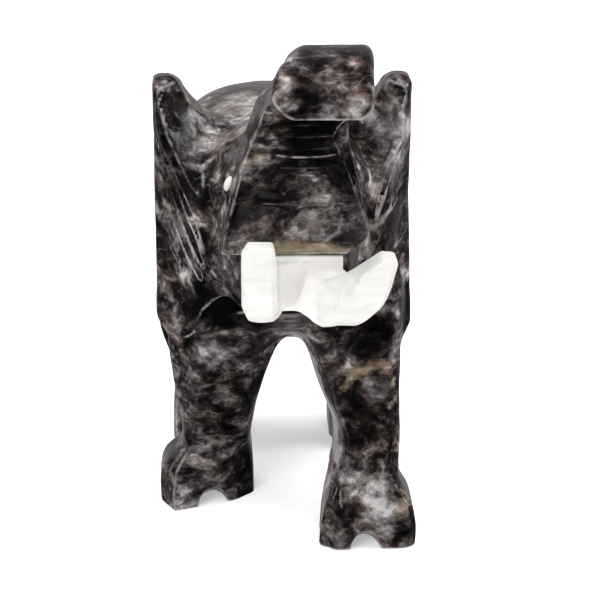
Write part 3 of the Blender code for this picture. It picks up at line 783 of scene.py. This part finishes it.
def polish(stone, name, most, swell):
    """The stone's surface as a mesh thinned to so many triangles before its long edges are
    halved, with a slight swell left by hand polishing: a list of sizes, heights and seeds.
    Gives the mesh and where its points lie before the swell."""
    points, faces = stone.skin()
    rough = new_mesh(name + "_rough", stone.settle(points, 2), faces)
    if len(faces) * 2 > most:
        thing = bpy.data.objects.new(name + "_rough", rough)
        bpy.context.scene.collection.objects.link(thing)
        thin = thing.modifiers.new("thin", "DECIMATE")
        thin.ratio = most / (len(faces) * 2)
        graph = bpy.context.evaluated_depsgraph_get()
        mesh = bpy.data.meshes.new_from_object(thing.evaluated_get(graph))
        bpy.data.objects.remove(thing)
        bpy.data.meshes.remove(rough)
    else:
        mesh = rough
    mesh.name = name
    for _ in range(HALVINGS):
        halve_edges(mesh, LONGEST_EDGE)
    places = stone.settle(places_of(mesh), 3)
    normal = stone.slope(places, stone.step * 0.7)
    normal /= np.maximum(np.linalg.norm(normal, axis=1), 1e-6)[:, None]
    total = np.zeros(len(places))
    tilt = np.zeros_like(places)
    for size, height, seed in swell:
        value, slope = ripple(places, size, seed)
        total += value * height
        tilt += slope * height
    tilt -= normal * (tilt * normal).sum(1)[:, None]
    moved = places - normal * (total.max() - total)[:, None]
    moved[:, 2] = np.maximum(moved[:, 2], 0)
    mesh.vertices.foreach_set("co", ((moved + SHIFT) * 0.001).astype(np.float32).ravel())
    shaded = normal - tilt
    shaded /= np.linalg.norm(shaded, axis=1)[:, None]
    mesh.shade_smooth()
    mesh.normals_split_custom_set_from_vertices(shaded.tolist())
    mesh.update()
    return mesh, places


def eye_disc(side):
    """A lens: rings of a sphere flattened to its half thickness, drawn out to a soft point at
    the upper front and the lower back, and turned to lie in the cheek."""
    around, down = 40, 21
    angle, rise = np.meshgrid(
        np.linspace(0, 2 * math.pi, around, endpoint=False), np.linspace(0, math.pi, down), indexing="ij")
    ring = np.sin(rise)
    upward = np.sin(angle) * ring
    drawn = 1 - 0.35 * np.abs(upward) ** 3
    across = np.cos(angle) * ring * drawn * EYE_SIZE[0]
    out = np.cos(rise) * EYE_SIZE[2] * drawn
    facing = np.array([side * math.cos(EYE_TURN), -math.sin(EYE_TURN), 0])
    level = np.array([side * math.sin(EYE_TURN), math.cos(EYE_TURN), 0]) * side
    across = across - side * EYE_LEAN * upward
    places = np.array(EYES[side]) + out[..., None] * facing + across[..., None] * level
    places[..., 2] += upward * EYE_SIZE[1]
    places[..., 0] -= side * 0.5 * upward
    grid = places.reshape(-1, 3)
    index = np.arange(around * down).reshape(around, down)
    after = np.roll(index, -1, axis=0)
    quads = np.stack([index[:, :-1], index[:, 1:], after[:, 1:], after[:, :-1]], -1).reshape(-1, 4)
    if side > 0:
        quads = quads[:, ::-1]
    return grid, quads


# Clouds on the flat front of the nose, with painted shadow and painted highlights among them:
# place (across, up), reach, and how much lighter or darker it is there
NOSE_CLOUDS_AND_PAINTED_LIGHT = [
    (4, 97.5, 5, 1.0), (8, 94, 5, 0.8), (-1, 104.5, 3, 0.3), (12, 99, 4, 0.35), (3, 107.5, 3, 0.45),
    # Painted highlights: the small bright patches from (-2, 114.8) to (11.4, 107.8), with (2, 111.3), (10,
    # 111.4) and (-2.6, 119.4), lie along the lips of the steps
    (9, 107, 2.6, 0.3), (-8, 103, 4, -0.5), (-9.5, 95.5, 4, -0.3), (-2, 114.8, 0.9, 2.2),
    (0.4, 114.4, 0.8, 2), (2.6, 114.1, 0.7, 1.6), (6, 114, 0.8, 1.8), (9.6, 114.8, 0.8, 2),
    (4.4, 107.3, 0.6, 1.6), (6.4, 107.1, 0.5, 1.8), (8.2, 107.2, 0.6, 1.6), (11.4, 107.8, 0.8, 2.2),
    # Painted shadow: (-4, 118.4), (9, 118), (3, 121) and (4, 116.3) darken the top of the nose's front under
    # the overhanging tip
    (2, 111.3, 1.6, 0.7), (10, 111.4, 1.6, 0.7), (12, 103, 3, 0.7), (-4, 118.4, 3, -1),
    (9, 118, 4, -1), (14, 110, 2.5, -0.8), (0, 91.4, 2.5, -1), (3, 121, 6, -1.3),
    (4, 116.3, 5, -0.9), (-6.5, 112, 2.2, 0.9), (3, 103, 12, -0.7), (-2.6, 119.4, 1.8, 0.7),
]
# Clouds elsewhere, with painted shade, painted highlights and painted reflections among them: place (x, y,
# z), reach, and how much lighter or darker it is there
CLOUDS_AND_PAINTED_LIGHT = [
    # Trunk
    # Painted highlight: (-0.6, -55.5, 135.5) lightens a patch by the ridge of the trunk's tip
    (-9.5, -37.5, 108.5, 2.4, 0.8), (-0.6, -55.5, 135.5, 2.6, 1.7), (15, -56.5, 131.6, 3.2, 0.9),
    (18, -56.5, 131, 3, 0.8), (10, -56.5, 132, 3.4, 0.4), (12, -46, 139.5, 3.6, 1.0),
    (6, -48, 138.6, 3, -0.8), (3, -37, 139.3, 3.5, -0.8), (20.5, -45, 139.5, 3, -1.2),
    (15.5, -40, 141.5, 3, 0.6), (4.5, -56, 135.3, 3.2, -1.0), (-3, -56.5, 130, 2.6, 0.4),
    (-5, -38, 116.4, 2.2, 1.1), (17.6, -50, 140.6, 2, 1.4), (11, -52, 139, 4, 0.8),
    (6, -40, 141, 4, -0.6), (4, -57, 131, 8, 0.1),
    # Cheeks and ears, with painted highlights on a facet of the right ear, and the hollow under the right
    # ear, darkened as painted shade
    (-13.6, -20.5, 106.8, 3, 0.8), (-16.5, -17, 100.2, 3.2, 0.6), (-15.6, -29, 99, 3.2, 0.9),
    (-19.5, -11.5, 91.5, 4, 0.9), (-22.4, 1.2, 105.5, 3.4, 0.9), (-22.6, -1.5, 102, 3, 0.7),
    (-30, 2, 116, 6, -0.5), (-25, -6, 98.5, 3.5, -0.6), (26.5, 3.5, 118, 4.5, 1.1),
    (30.5, 2.6, 122, 3, 0.3), (25.5, -1, 106, 4, -0.9), (31.8, 0.6, 119.5, 2, -0.8),
    (24, -8, 96, 3.2, 0.8), (30.4, -2.5, 100, 4, 0.5), (31, 1, 86.5, 5, 0.1), (33, 4.6, 75.5, 5, -0.3),
    # Painted highlights: (-25.6, -6.1, 73.2), (-30.5, 0.6, 63.8), (-25.4, -5.4, 72.4) and (-24.4, -5, 69.6)
    # are light spots on the right ear's lower facets
    (-25.6, -6.1, 73.2, 2.2, 1.2), (-30.5, 0.6, 63.8, 2.4, 0.8), (-31, 3.7, 77, 6, -0.5),
    # Painted shade: (-18, -7, 62), (-12.5, -10, 66) and (-21.4, -6.8, 68.5) darken the hollow under the
    # right ear
    (-29, -1, 86.5, 5, -0.4), (31, -3, 59.5, 2.4, 0.7), (-18, -7, 62, 5.5, -3.2),
    (-12.5, -10, 66, 4.5, -3.2), (-14.4, -29.6, 79, 3, 0.6), (-16.2, -25.3, 82, 4, 0.3),
    (-30.4, 2.4, 104, 3, -0.8), (-21.4, -6.8, 68.5, 3, -1.8), (31, 0, 111, 6, 0.9),
    (30, 0, 96, 8, 0.7), (31, -1, 104, 4, 0.6), (-25.4, -5.4, 72.4, 3.4, 2.2),
    (-24.4, -5, 69.6, 2, 1.2), (-16, -24, 90, 6, 0.3), (18, -24, 90, 5, 0.3),
    # Right front leg
    (-17, -4, 46.5, 4, 0.5), (-28.5, -1, 42, 7, 0.45), (-13, -1, 36, 6, -0.4), (-15, -1, 28, 5, -0.4),
    (-27, -0.2, 11, 3.4, 0.35), (-31, 0, 4, 3.4, 0.5), (-15, 5.4, 10, 4, -0.3),
    (-19, 2.6, 14, 2.5, 0.5), (-22, -1, 47, 5, 0.4), (-21, -1, 38, 7, 0.35), (-11, -1, 44, 3, 0.35),
    (-25, 0, 30, 5, 0.3), (-20, 1, 20, 6, 0.2), (-22, 0, 6, 7, 0.35),
    # Striding leg
    (18.4, -15, 37, 4.5, -0.9), (19, -18, 31, 4.5, -0.9), (19.5, -20.5, 25.5, 4, -0.8),
    (25.5, -17.5, 32, 4, 0.35), (24, -15, 37, 3, 0.3), (25, -22, 21, 4, 0.3), (17.5, -11, 46, 3, 0.5),
    (22, -10, 49, 5, -0.2), (20.7, -24, 17, 3.6, 0.9), (24.5, -26, 14.5, 4.2, 1.3),
    (28, -29.5, 10.5, 4.5, 0.7), (14, -26, 14, 3.4, -0.5), (16, -30, 10, 3, -0.7),
    (14, -30, 4, 3.6, 0.8), (11.5, -28, 4.5, 2.2, 0.2), (29, -29.5, 4, 3.6, -0.4),
    # Painted reflection: from (3, 2, 49) to (11.5, -15, 13), a pale strip where the inner wall of the
    # striding leg mirrors the white floor
    (22, -30, 9, 3, 0.4), (3, 2, 49, 4, 1.6), (8.5, 0, 43, 4.5, 2.6), (11.3, -3, 36, 4.5, 2.6),
    (13.7, -8, 28, 4.5, 2.6), (14.2, -12, 21, 4.5, 2.4), (11.5, -15, 13, 4, 2.2),
    (24, -30, 7, 7, 0.5), (16, -22, 20, 5, 0.4), (27, -14, 30, 5, 0.3),
    # Back, lightened as a painted sheen
    (-13, 34, 112, 9, 1.3), (-5, 28, 112, 8, 1.1), (-20, 22, 108, 8, 1.1), (-9, 14, 110, 5, 1.0),
]

# Tan band at the foot of the nose (across, up), a painted reflection of the white tusks below it,
# and tan veins elsewhere (x, y, z), each with its reach and strength
NOSE_TAN_REFLECTION = [
    (-4.4, 88.4, 2.8, 0.9), (-1.6, 88.4, 2.8, 0.9), (1.2, 88.5, 2.8, 0.85), (4, 88.6, 2.6, 0.8),
    (6.8, 88.6, 2.6, 0.8), (9.6, 88.6, 2.4, 0.8), (12.4, 88.4, 2.4, 0.8), (15, 88.2, 2, 0.7),
]
TANS = [
    (16.6, -12.6, 42, 2, 0.6), (18.4, -12, 43.6, 2.1, 0.8), (21, -11.4, 44.8, 2.2, 0.85),
    (23.6, -10.6, 46, 2.1, 0.8), (26.4, -9.6, 48.6, 1.8, 0.75), (27.8, -9.9, 45.4, 2.1, 0.8),
    (30, -10, 42, 2, 0.85), (31.4, -10.4, 38, 1.8, 0.8), (32, -11, 34, 1.6, 0.6),
    (33, -23, 14, 3, 0.7), (31.4, -27, 11, 3.4, 0.6), (-10.5, -37, 110.5, 2, 0.9),
    (-8, -38, 113.5, 2.4, 0.9),
]

# How the places of the clouds are pushed about: sizes of the swells, amounts and seeds, and
# the share of it that moves the tan veins and the painted reflection under the nose
DRIFTS, TAN_DRIFT = [(9, 1.5, 21), (3.5, 0.6, 31)], 0.35

# Reach over which arrises and cuts are told apart, and where cuts are scraped dull: out from
# this and up from this. Then the rough tip of each ear: out, along, up, reach and strength
BEND_REACH, SCRAPED_OUT, SCRAPED_UP = 0.9, 17, 58
ROUGH_TIP = (30, 1, 117, 5.5, 1.0)


def on_nose(rows):
    """Rows of patches on the flat front of the nose, with its place along put in."""
    return [(x, NOSE_FRONT, z, reach, amount) for x, z, reach, amount in rows]


def gather(points, blobs):
    """The sum of soft round patches: each falls off as a bell curve over its reach."""
    total = np.zeros(len(points))
    for x, y, z, reach, amount in blobs:
        away = ((points - (x, y, z)) ** 2).sum(1) / reach ** 2
        total += amount * np.exp(-away)
    return total


class Mix:
    """Short words for a material's nodes."""

    def __init__(self, name):
        self.material = bpy.data.materials.new(name)
        self.material.use_nodes = True
        self.nodes, self.links = self.material.node_tree.nodes, self.material.node_tree.links
        self.shader = self.nodes["Principled BSDF"]
        self.where = self.nodes.new("ShaderNodeTexCoord").outputs["Object"]

    def link(self, source, target):
        if isinstance(source, (int, float)):
            target.default_value = source
        else:
            self.links.new(source, target)

    def sum(self, operation, first, second=0.0, third=None):
        node = self.nodes.new("ShaderNodeMath")
        node.operation = operation
        self.link(first, node.inputs[0])
        self.link(second, node.inputs[1])
        if third is not None:
            self.link(third, node.inputs[2])
        return node.outputs[0]

    def sway(self, noise, amount, base):
        """The base, with so many times the noise's distance from its middle added."""
        return self.sum("MULTIPLY_ADD", self.sum("SUBTRACT", noise, 0.5), amount, base)

    def stretch(self, scale, turn=(0, 0, 0)):
        """Places turned and scaled: noise read there is drawn out where the scale is small."""
        node = self.nodes.new("ShaderNodeMapping")
        node.inputs["Scale"].default_value = scale
        node.inputs["Rotation"].default_value = turn
        self.links.new(self.where, node.inputs["Vector"])
        return node.outputs[0]

    def noise(self, size, where=None, detail=4.0, rough=0.55, colour=False):
        """Noise whose features are about so many millimetres across."""
        node = self.nodes.new("ShaderNodeTexNoise")
        node.inputs["Scale"].default_value = 1000 / size
        node.inputs["Detail"].default_value = detail
        node.inputs["Roughness"].default_value = rough
        self.links.new(where or self.where, node.inputs["Vector"])
        return node.outputs["Color" if colour else "Fac"]

    def warp(self, size, amount, where=None):
        """Places pushed about by noise, by up to so many millimetres."""
        centre = self.nodes.new("ShaderNodeVectorMath")
        centre.operation = "SUBTRACT"
        self.links.new(self.noise(size, where, 3, colour=True), centre.inputs[0])
        centre.inputs[1].default_value = (0.5, 0.5, 0.5)
        node = self.nodes.new("ShaderNodeVectorMath")
        node.operation = "MULTIPLY_ADD"
        self.links.new(centre.outputs[0], node.inputs[0])
        node.inputs[1].default_value = (amount * 0.002,) * 3
        self.links.new(where or self.where, node.inputs[2])
        return node.outputs[0]

    def range(self, value, low, high, to_low=0.0, to_high=1.0):
        node = self.nodes.new("ShaderNodeMapRange")
        node.interpolation_type = "SMOOTHSTEP"
        self.link(value, node.inputs["Value"])
        for name, number in (("From Min", low), ("From Max", high), ("To Min", to_low), ("To Max", to_high)):
            node.inputs[name].default_value = number
        return node.outputs["Result"]

    def ramp(self, value, stops):
        node = self.nodes.new("ShaderNodeValToRGB")
        self.links.new(value, node.inputs["Fac"])
        band = node.color_ramp
        while len(band.elements) < len(stops):
            band.elements.new(0.5)
        for element, (place, colour) in zip(band.elements, stops):
            element.position = place
            element.color = (*colour, 1)
        return node.outputs["Color"]

    def blend(self, share, first, second, kind="MIX"):
        node = self.nodes.new("ShaderNodeMix")
        node.data_type = "RGBA"
        node.blend_type = kind
        self.link(share, node.inputs[0])
        for source, target in ((first, node.inputs[6]), (second, node.inputs[7])):
            if isinstance(source, tuple):
                target.default_value = (*source, 1)
            else:
                self.links.new(source, target)
        return node.outputs[2]

    def value(self, name):
        node = self.nodes.new("ShaderNodeAttribute")
        node.attribute_name = name
        return node.outputs["Fac"]

    def bump(self, height, distance):
        """Relief of a height given in parts of a distance in metres, on the shader's normal."""
        node = self.nodes.new("ShaderNodeBump")
        node.inputs["Strength"].default_value = 1
        node.inputs["Distance"].default_value = distance
        self.links.new(height, node.inputs["Height"])
        self.links.new(node.outputs["Normal"], self.shader.inputs["Normal"])


def grey_marble():
    """Black and grey marble: smoky clouds over a near black ground, brown and mauve tints,
    tan veins, hair-thin pale cracks, and a clear polish that is duller where tools left it.
    The cloud values also hold painted shade, painted highlights and painted reflections, the
    vein mask also holds a painted reflection under the nose, and the arrises are lightened
    partly as wear and partly as a painted highlight."""
    mix = Mix("grey_marble")
    cloud, tan, arris, cut = [mix.value(name) for name in ("cloud", "tan", "arris", "cut")]
    flow = mix.warp(13, 10, mix.stretch((0.85, 0.9, 1.1), (0.2, 0.6, 0.2)))
    broad = mix.noise(12, flow, 7, 0.55)
    wisps = mix.noise(4.5, mix.warp(8, 8, mix.stretch((0.8, 0.9, 1.15), (0.2, -0.6, 0.3))), 7, 0.58)
    specks = mix.noise(1.3, None, 5, 0.75)
    tone = mix.sway(wisps, 1.6, mix.sway(broad, 1.7, 0.0))
    calm = mix.range(mix.sum("ABSOLUTE", cloud), 0.2, 1.4, 1.0, 0.6)
    tone = mix.sum("MULTIPLY_ADD", tone, calm, 0.455)
    tone = mix.sway(specks, 0.4, tone)
    # Cloud values lighten or darken the tone: the stone's clouds, and painted shade, highlights and
    # reflections
    tone = mix.sum("MULTIPLY_ADD", cloud, 0.28, tone)
    stone = mix.ramp(tone, [
        (0.1, (0.0010, 0.0008, 0.0008)), (0.3, (0.0054, 0.004, 0.0038)), (0.46, (0.021, 0.0158, 0.0154)),
        (0.62, (0.066, 0.053, 0.052)), (0.79, (0.158, 0.143, 0.14)), (0.97, (0.37, 0.355, 0.345)),
    ])
    tint = mix.noise(11, mix.warp(9, 5), 4, 0.5)
    brown = mix.blend(1.0, stone, (1.12, 0.9, 0.78), "MULTIPLY")
    stone = mix.blend(mix.range(tint, 0.52, 0.66, 0, 0.55), stone, brown)
    mauve = mix.blend(1.0, stone, (0.95, 0.97, 1.12), "MULTIPLY")
    stone = mix.blend(mix.range(tint, 0.48, 0.36, 0, 0.6), stone, mauve)
    grain = mix.noise(3, mix.warp(5, 2, mix.stretch((0.5, 0.8, 1.4))), 5, 0.6)
    # Tan veins, and at the foot of the nose a painted reflection of the white tusks
    vein_and_reflection = mix.sway(wisps, 0.9, mix.sway(grain, 1.3, tan))
    vein_and_reflection = mix.range(vein_and_reflection, 0.25, 1.15, 0, 0.92)
    clay = [(0.3, (0.085, 0.062, 0.04)), (0.55, (0.23, 0.18, 0.12)), (0.75, (0.4, 0.36, 0.28))]
    stone = mix.blend(vein_and_reflection, stone, mix.ramp(grain, clay))
    thread = mix.sum("ABSOLUTE", mix.sum("SUBTRACT", mix.noise(17, mix.warp(5, 2.2), 3, 0.5), 0.5))
    there = mix.range(mix.noise(12, None, 2), 0.56, 0.68)
    crack = mix.sum("MULTIPLY", mix.range(thread, 0.0045, 0.0012), there)
    stone = mix.blend(mix.sum("MULTIPLY", crack, 0.3), stone, (0.4, 0.38, 0.36))
    # Arrises lightened, partly as polish wear and partly as a painted highlight along each arris
    worn_and_highlit = mix.sum("MULTIPLY", mix.range(arris, 0.4, 1.1), mix.range(mix.noise(3, None, 4), 0.3, 0.6))
    stone = mix.blend(mix.sum("MULTIPLY", worn_and_highlit, 0.62), stone, (0.4, 0.36, 0.36))
    scrape = mix.noise(1.1, mix.stretch((0.4, 1, 0.25), (0, 0.4, 0)), 5, 0.7)
    scraped = mix.sum("MULTIPLY", mix.range(scrape, 0.56, 0.72), mix.range(cut, 0.15, 0.8))
    stone = mix.blend(mix.sum("MULTIPLY", scraped, 0.5), stone, (0.3, 0.29, 0.28))
    mix.links.new(stone, mix.shader.inputs["Base Color"])
    dull = mix.range(mix.noise(7, flow, 5), 0.35, 0.7, 0.14, 0.26)
    dull = mix.sum("MULTIPLY_ADD", mix.range(cut, 0.1, 0.8), 0.22, dull)
    mix.links.new(dull, mix.shader.inputs["Roughness"])
    mix.shader.inputs["Specular IOR Level"].default_value = 0.5
    mix.shader.inputs["IOR"].default_value = 1.48
    relief = mix.sum("MULTIPLY_ADD", mix.noise(0.9, None, 4, 0.6), 0.35, mix.noise(3.2, None, 3))
    lines = mix.noise(0.7, mix.stretch((0.06, 0.5, 1), (0, 0.25, 0)), 3)
    relief = mix.sum("MULTIPLY_ADD", lines, 0.25, relief)
    relief = mix.sum("MULTIPLY_ADD", mix.sum("MULTIPLY", scrape, mix.range(cut, 0.15, 0.9)), 3.0, relief)
    mix.bump(relief, 0.00009)
    return mix.material


def white_stone(name, rough):
    """White stone: faint grey and cream clouds, a little light passing under its surface, and painted light
    on the web between the tusks, where their shade falls.
    """
    mix = Mix(name)
    cloud = mix.noise(12, mix.warp(9, 4, mix.stretch((0.5, 1, 1.4))), 5, 0.55)
    white = mix.ramp(cloud, [
        (0.3, (0.48, 0.485, 0.465)), (0.45, (0.57, 0.56, 0.545)), (0.7, (0.6, 0.59, 0.575)),
    ])
    band = mix.noise(5, mix.stretch((0.35, 1, 2.2), (0, 0.5, 0)), 4, 0.5)
    white = mix.blend(mix.range(band, 0.48, 0.62, 0, 0.6), white, (0.5, 0.51, 0.48))
    # Painted light: the deep value lightens and warms the web that the tusks shade
    white = mix.blend(mix.value("deep"), white, (0.82, 0.8, 0.755))
    mix.links.new(white, mix.shader.inputs["Base Color"])
    mix.shader.inputs["Roughness"].default_value = rough
    mix.shader.inputs["Subsurface Weight"].default_value = 0.15
    mix.shader.inputs["Subsurface Radius"].default_value = (1.0, 0.9, 0.8)
    mix.shader.inputs["Subsurface Scale"].default_value = 0.002
    relief = mix.sum("MULTIPLY_ADD", mix.noise(0.8, None, 4), 0.3, mix.noise(4, None, 3))
    mix.bump(relief, 0.00008)
    return mix.material


def plain(name, colour, rough, glow):
    """A plain matt surface with a trace of unevenness, lit from below, for the floor."""
    mix = Mix(name)
    faint = tuple(c * 0.99 for c in colour)
    shade = mix.ramp(mix.noise(120, None, 2), [(0.3, faint), (0.7, colour)])
    mix.links.new(shade, mix.shader.inputs["Base Color"])
    mix.shader.inputs["Roughness"].default_value = rough
    mix.shader.inputs["Specular IOR Level"].default_value = 0.1
    mix.shader.inputs["Emission Color"].default_value = (1, 1, 1, 1)
    mix.shader.inputs["Emission Strength"].default_value = glow
    return mix.material


def make_pieces():
    """The body, the tusks and the two eyes."""
    stone = carve_body()
    mesh, places = polish(stone, "carved_body", BODY_FACES, BODY_SWELL)
    moved = places
    for size, amount, seed in DRIFTS:
        moved = drift(moved, size, amount, seed)
    # Clouds of the stone, with painted shade, painted highlights and painted reflections among them
    keep_values(mesh, "cloud", gather(moved, on_nose(NOSE_CLOUDS_AND_PAINTED_LIGHT) + CLOUDS_AND_PAINTED_LIGHT))
    moved = places + (moved - places) * TAN_DRIFT
    # Tan veins, with a painted reflection of the white tusks at the foot of the nose
    keep_values(mesh, "tan", gather(moved, on_nose(NOSE_TAN_REFLECTION) + TANS))
    bend = stone.bend(places, BEND_REACH)
    keep_values(mesh, "arris", bend)
    out, up = np.abs(places[:, 0]), places[:, 2]
    grooved = np.clip((-bend - 0.1) / 0.5, 0, 1) * (out > SCRAPED_OUT) * (up > SCRAPED_UP)
    tip = gather(np.stack([out, places[:, 1], up], 1), [ROUGH_TIP])
    keep_values(mesh, "cut", np.maximum(grooved * 0.7, tip))
    new_piece("carved_body", mesh, grey_marble(), "grey_marble", "elephant_body")

    mesh, places = polish(carve_tusks(), "white_tusks", TUSK_FACES, TUSK_SWELL)
    # Painted light on the web between the tusks, which they shade: its deep value
    between = np.clip((places[:, 0] + 4) / 2, 0, 1) * np.clip((15 - places[:, 0]) / 4, 0, 1)
    keep_values(mesh, "deep", np.clip((places[:, 1] + 46.5) / 3, 0, 1) * between * 0.55)
    new_piece("white_tusks", mesh, white_stone("white_stone", 0.38), "white_stone", "tusks")

    shell = white_stone("eye_shell", 0.25)
    for side, name in ((RIGHT, "right_eye"), (LEFT, "left_eye")):
        grid, quads = eye_disc(side)
        new_piece(name + "_disc", new_mesh(name + "_disc", grid, quads), shell, "eye_shell", name)


def make_studio():
    """A pale floor, a dim sky with a bright backdrop behind, and soft lights. The wide ones over
    the floor and beside the viewer are too large to be mirrored, and only small ones shine."""
    floor_mesh = bpy.data.meshes.new("floor")
    floor_mesh.from_pydata([(-9, -9, 0), (9, -9, 0), (9, 9, 0), (-9, 9, 0)], [], [(0, 1, 2, 3)])
    floor_mesh.materials.append(plain("floor_white", (0.93, 0.93, 0.93), 0.7, 0.4))
    floor = bpy.data.objects.new("floor", floor_mesh)
    bpy.context.scene.collection.objects.link(floor)
    floor.visible_glossy = False

    world = bpy.data.worlds.new("studio")
    bpy.context.scene.world = world
    world.use_nodes = True
    nodes, links = world.node_tree.nodes, world.node_tree.links
    where = nodes.new("ShaderNodeTexCoord").outputs["Generated"]
    facing = nodes.new("ShaderNodeVectorMath")
    facing.operation = "DOT_PRODUCT"
    links.new(where, facing.inputs[0])
    facing.inputs[1].default_value = (0, -1, 0)
    fall = nodes.new("ShaderNodeMapRange")
    fall.interpolation_type = "SMOOTHSTEP"
    links.new(facing.outputs["Value"], fall.inputs["Value"])
    for name, number in (("From Min", -1.0), ("From Max", -0.5), ("To Min", 0.42), ("To Max", 0.03)):
        fall.inputs[name].default_value = number
    links.new(fall.outputs["Result"], nodes["Background"].inputs["Strength"])
    nodes["Background"].inputs["Color"].default_value = (1, 0.95, 0.95, 1)

    # Place and size in metres, watts, and whether the polish mirrors it
    lights = [
        ((0, 0.1, 1.2), 1.4, 30, False), ((-0.45, -1.0, 0.7), 0.6, 9, False),
        ((0.9, -0.3, 0.5), 0.6, 4, False), ((-0.55, 0.05, 0.5), 0.16, 0.7, True),
        ((0.6, 0.1, 0.45), 0.16, 0.7, True), ((-0.2, -0.5, 0.75), 0.14, 0.5, True),
    ]
    for place, size, energy, shines in lights:
        light = bpy.data.lights.new("softbox", "AREA")
        light.shape, light.size, light.energy = "SQUARE", size, energy
        lamp = bpy.data.objects.new("softbox", light)
        lamp.visible_glossy = shines
        lamp.location = place
        lamp.rotation_euler = (Vector((0, 0, 0.07)) - Vector(place)).to_track_quat("-Z", "Y").to_euler()
        bpy.context.scene.collection.objects.link(lamp)


def make_camera():
    """The photograph's camera: just left of the front, 18 degrees up, 0.6 m away."""
    turn, rise, away = math.radians(-2.5), math.radians(18), 0.6
    back = Vector((math.sin(turn) * math.cos(rise), -math.cos(turn) * math.cos(rise), math.sin(rise)))
    target = Vector((np.array([4.7, 0, 62.7]) + SHIFT) * 0.001)
    lens = bpy.data.cameras.new("camera")
    lens.lens, lens.sensor_width, lens.clip_start, lens.clip_end = 129.6, 36, 0.01, 60
    camera = bpy.data.objects.new("camera", lens)
    camera.location = target + back * away
    camera.rotation_euler = (-back).to_track_quat("-Z", "Y").to_euler()
    bpy.context.scene.collection.objects.link(camera)
    bpy.context.scene.camera = camera
    bpy.context.scene.view_settings.view_transform = "Standard"


make_camera()
make_studio()
make_pieces()
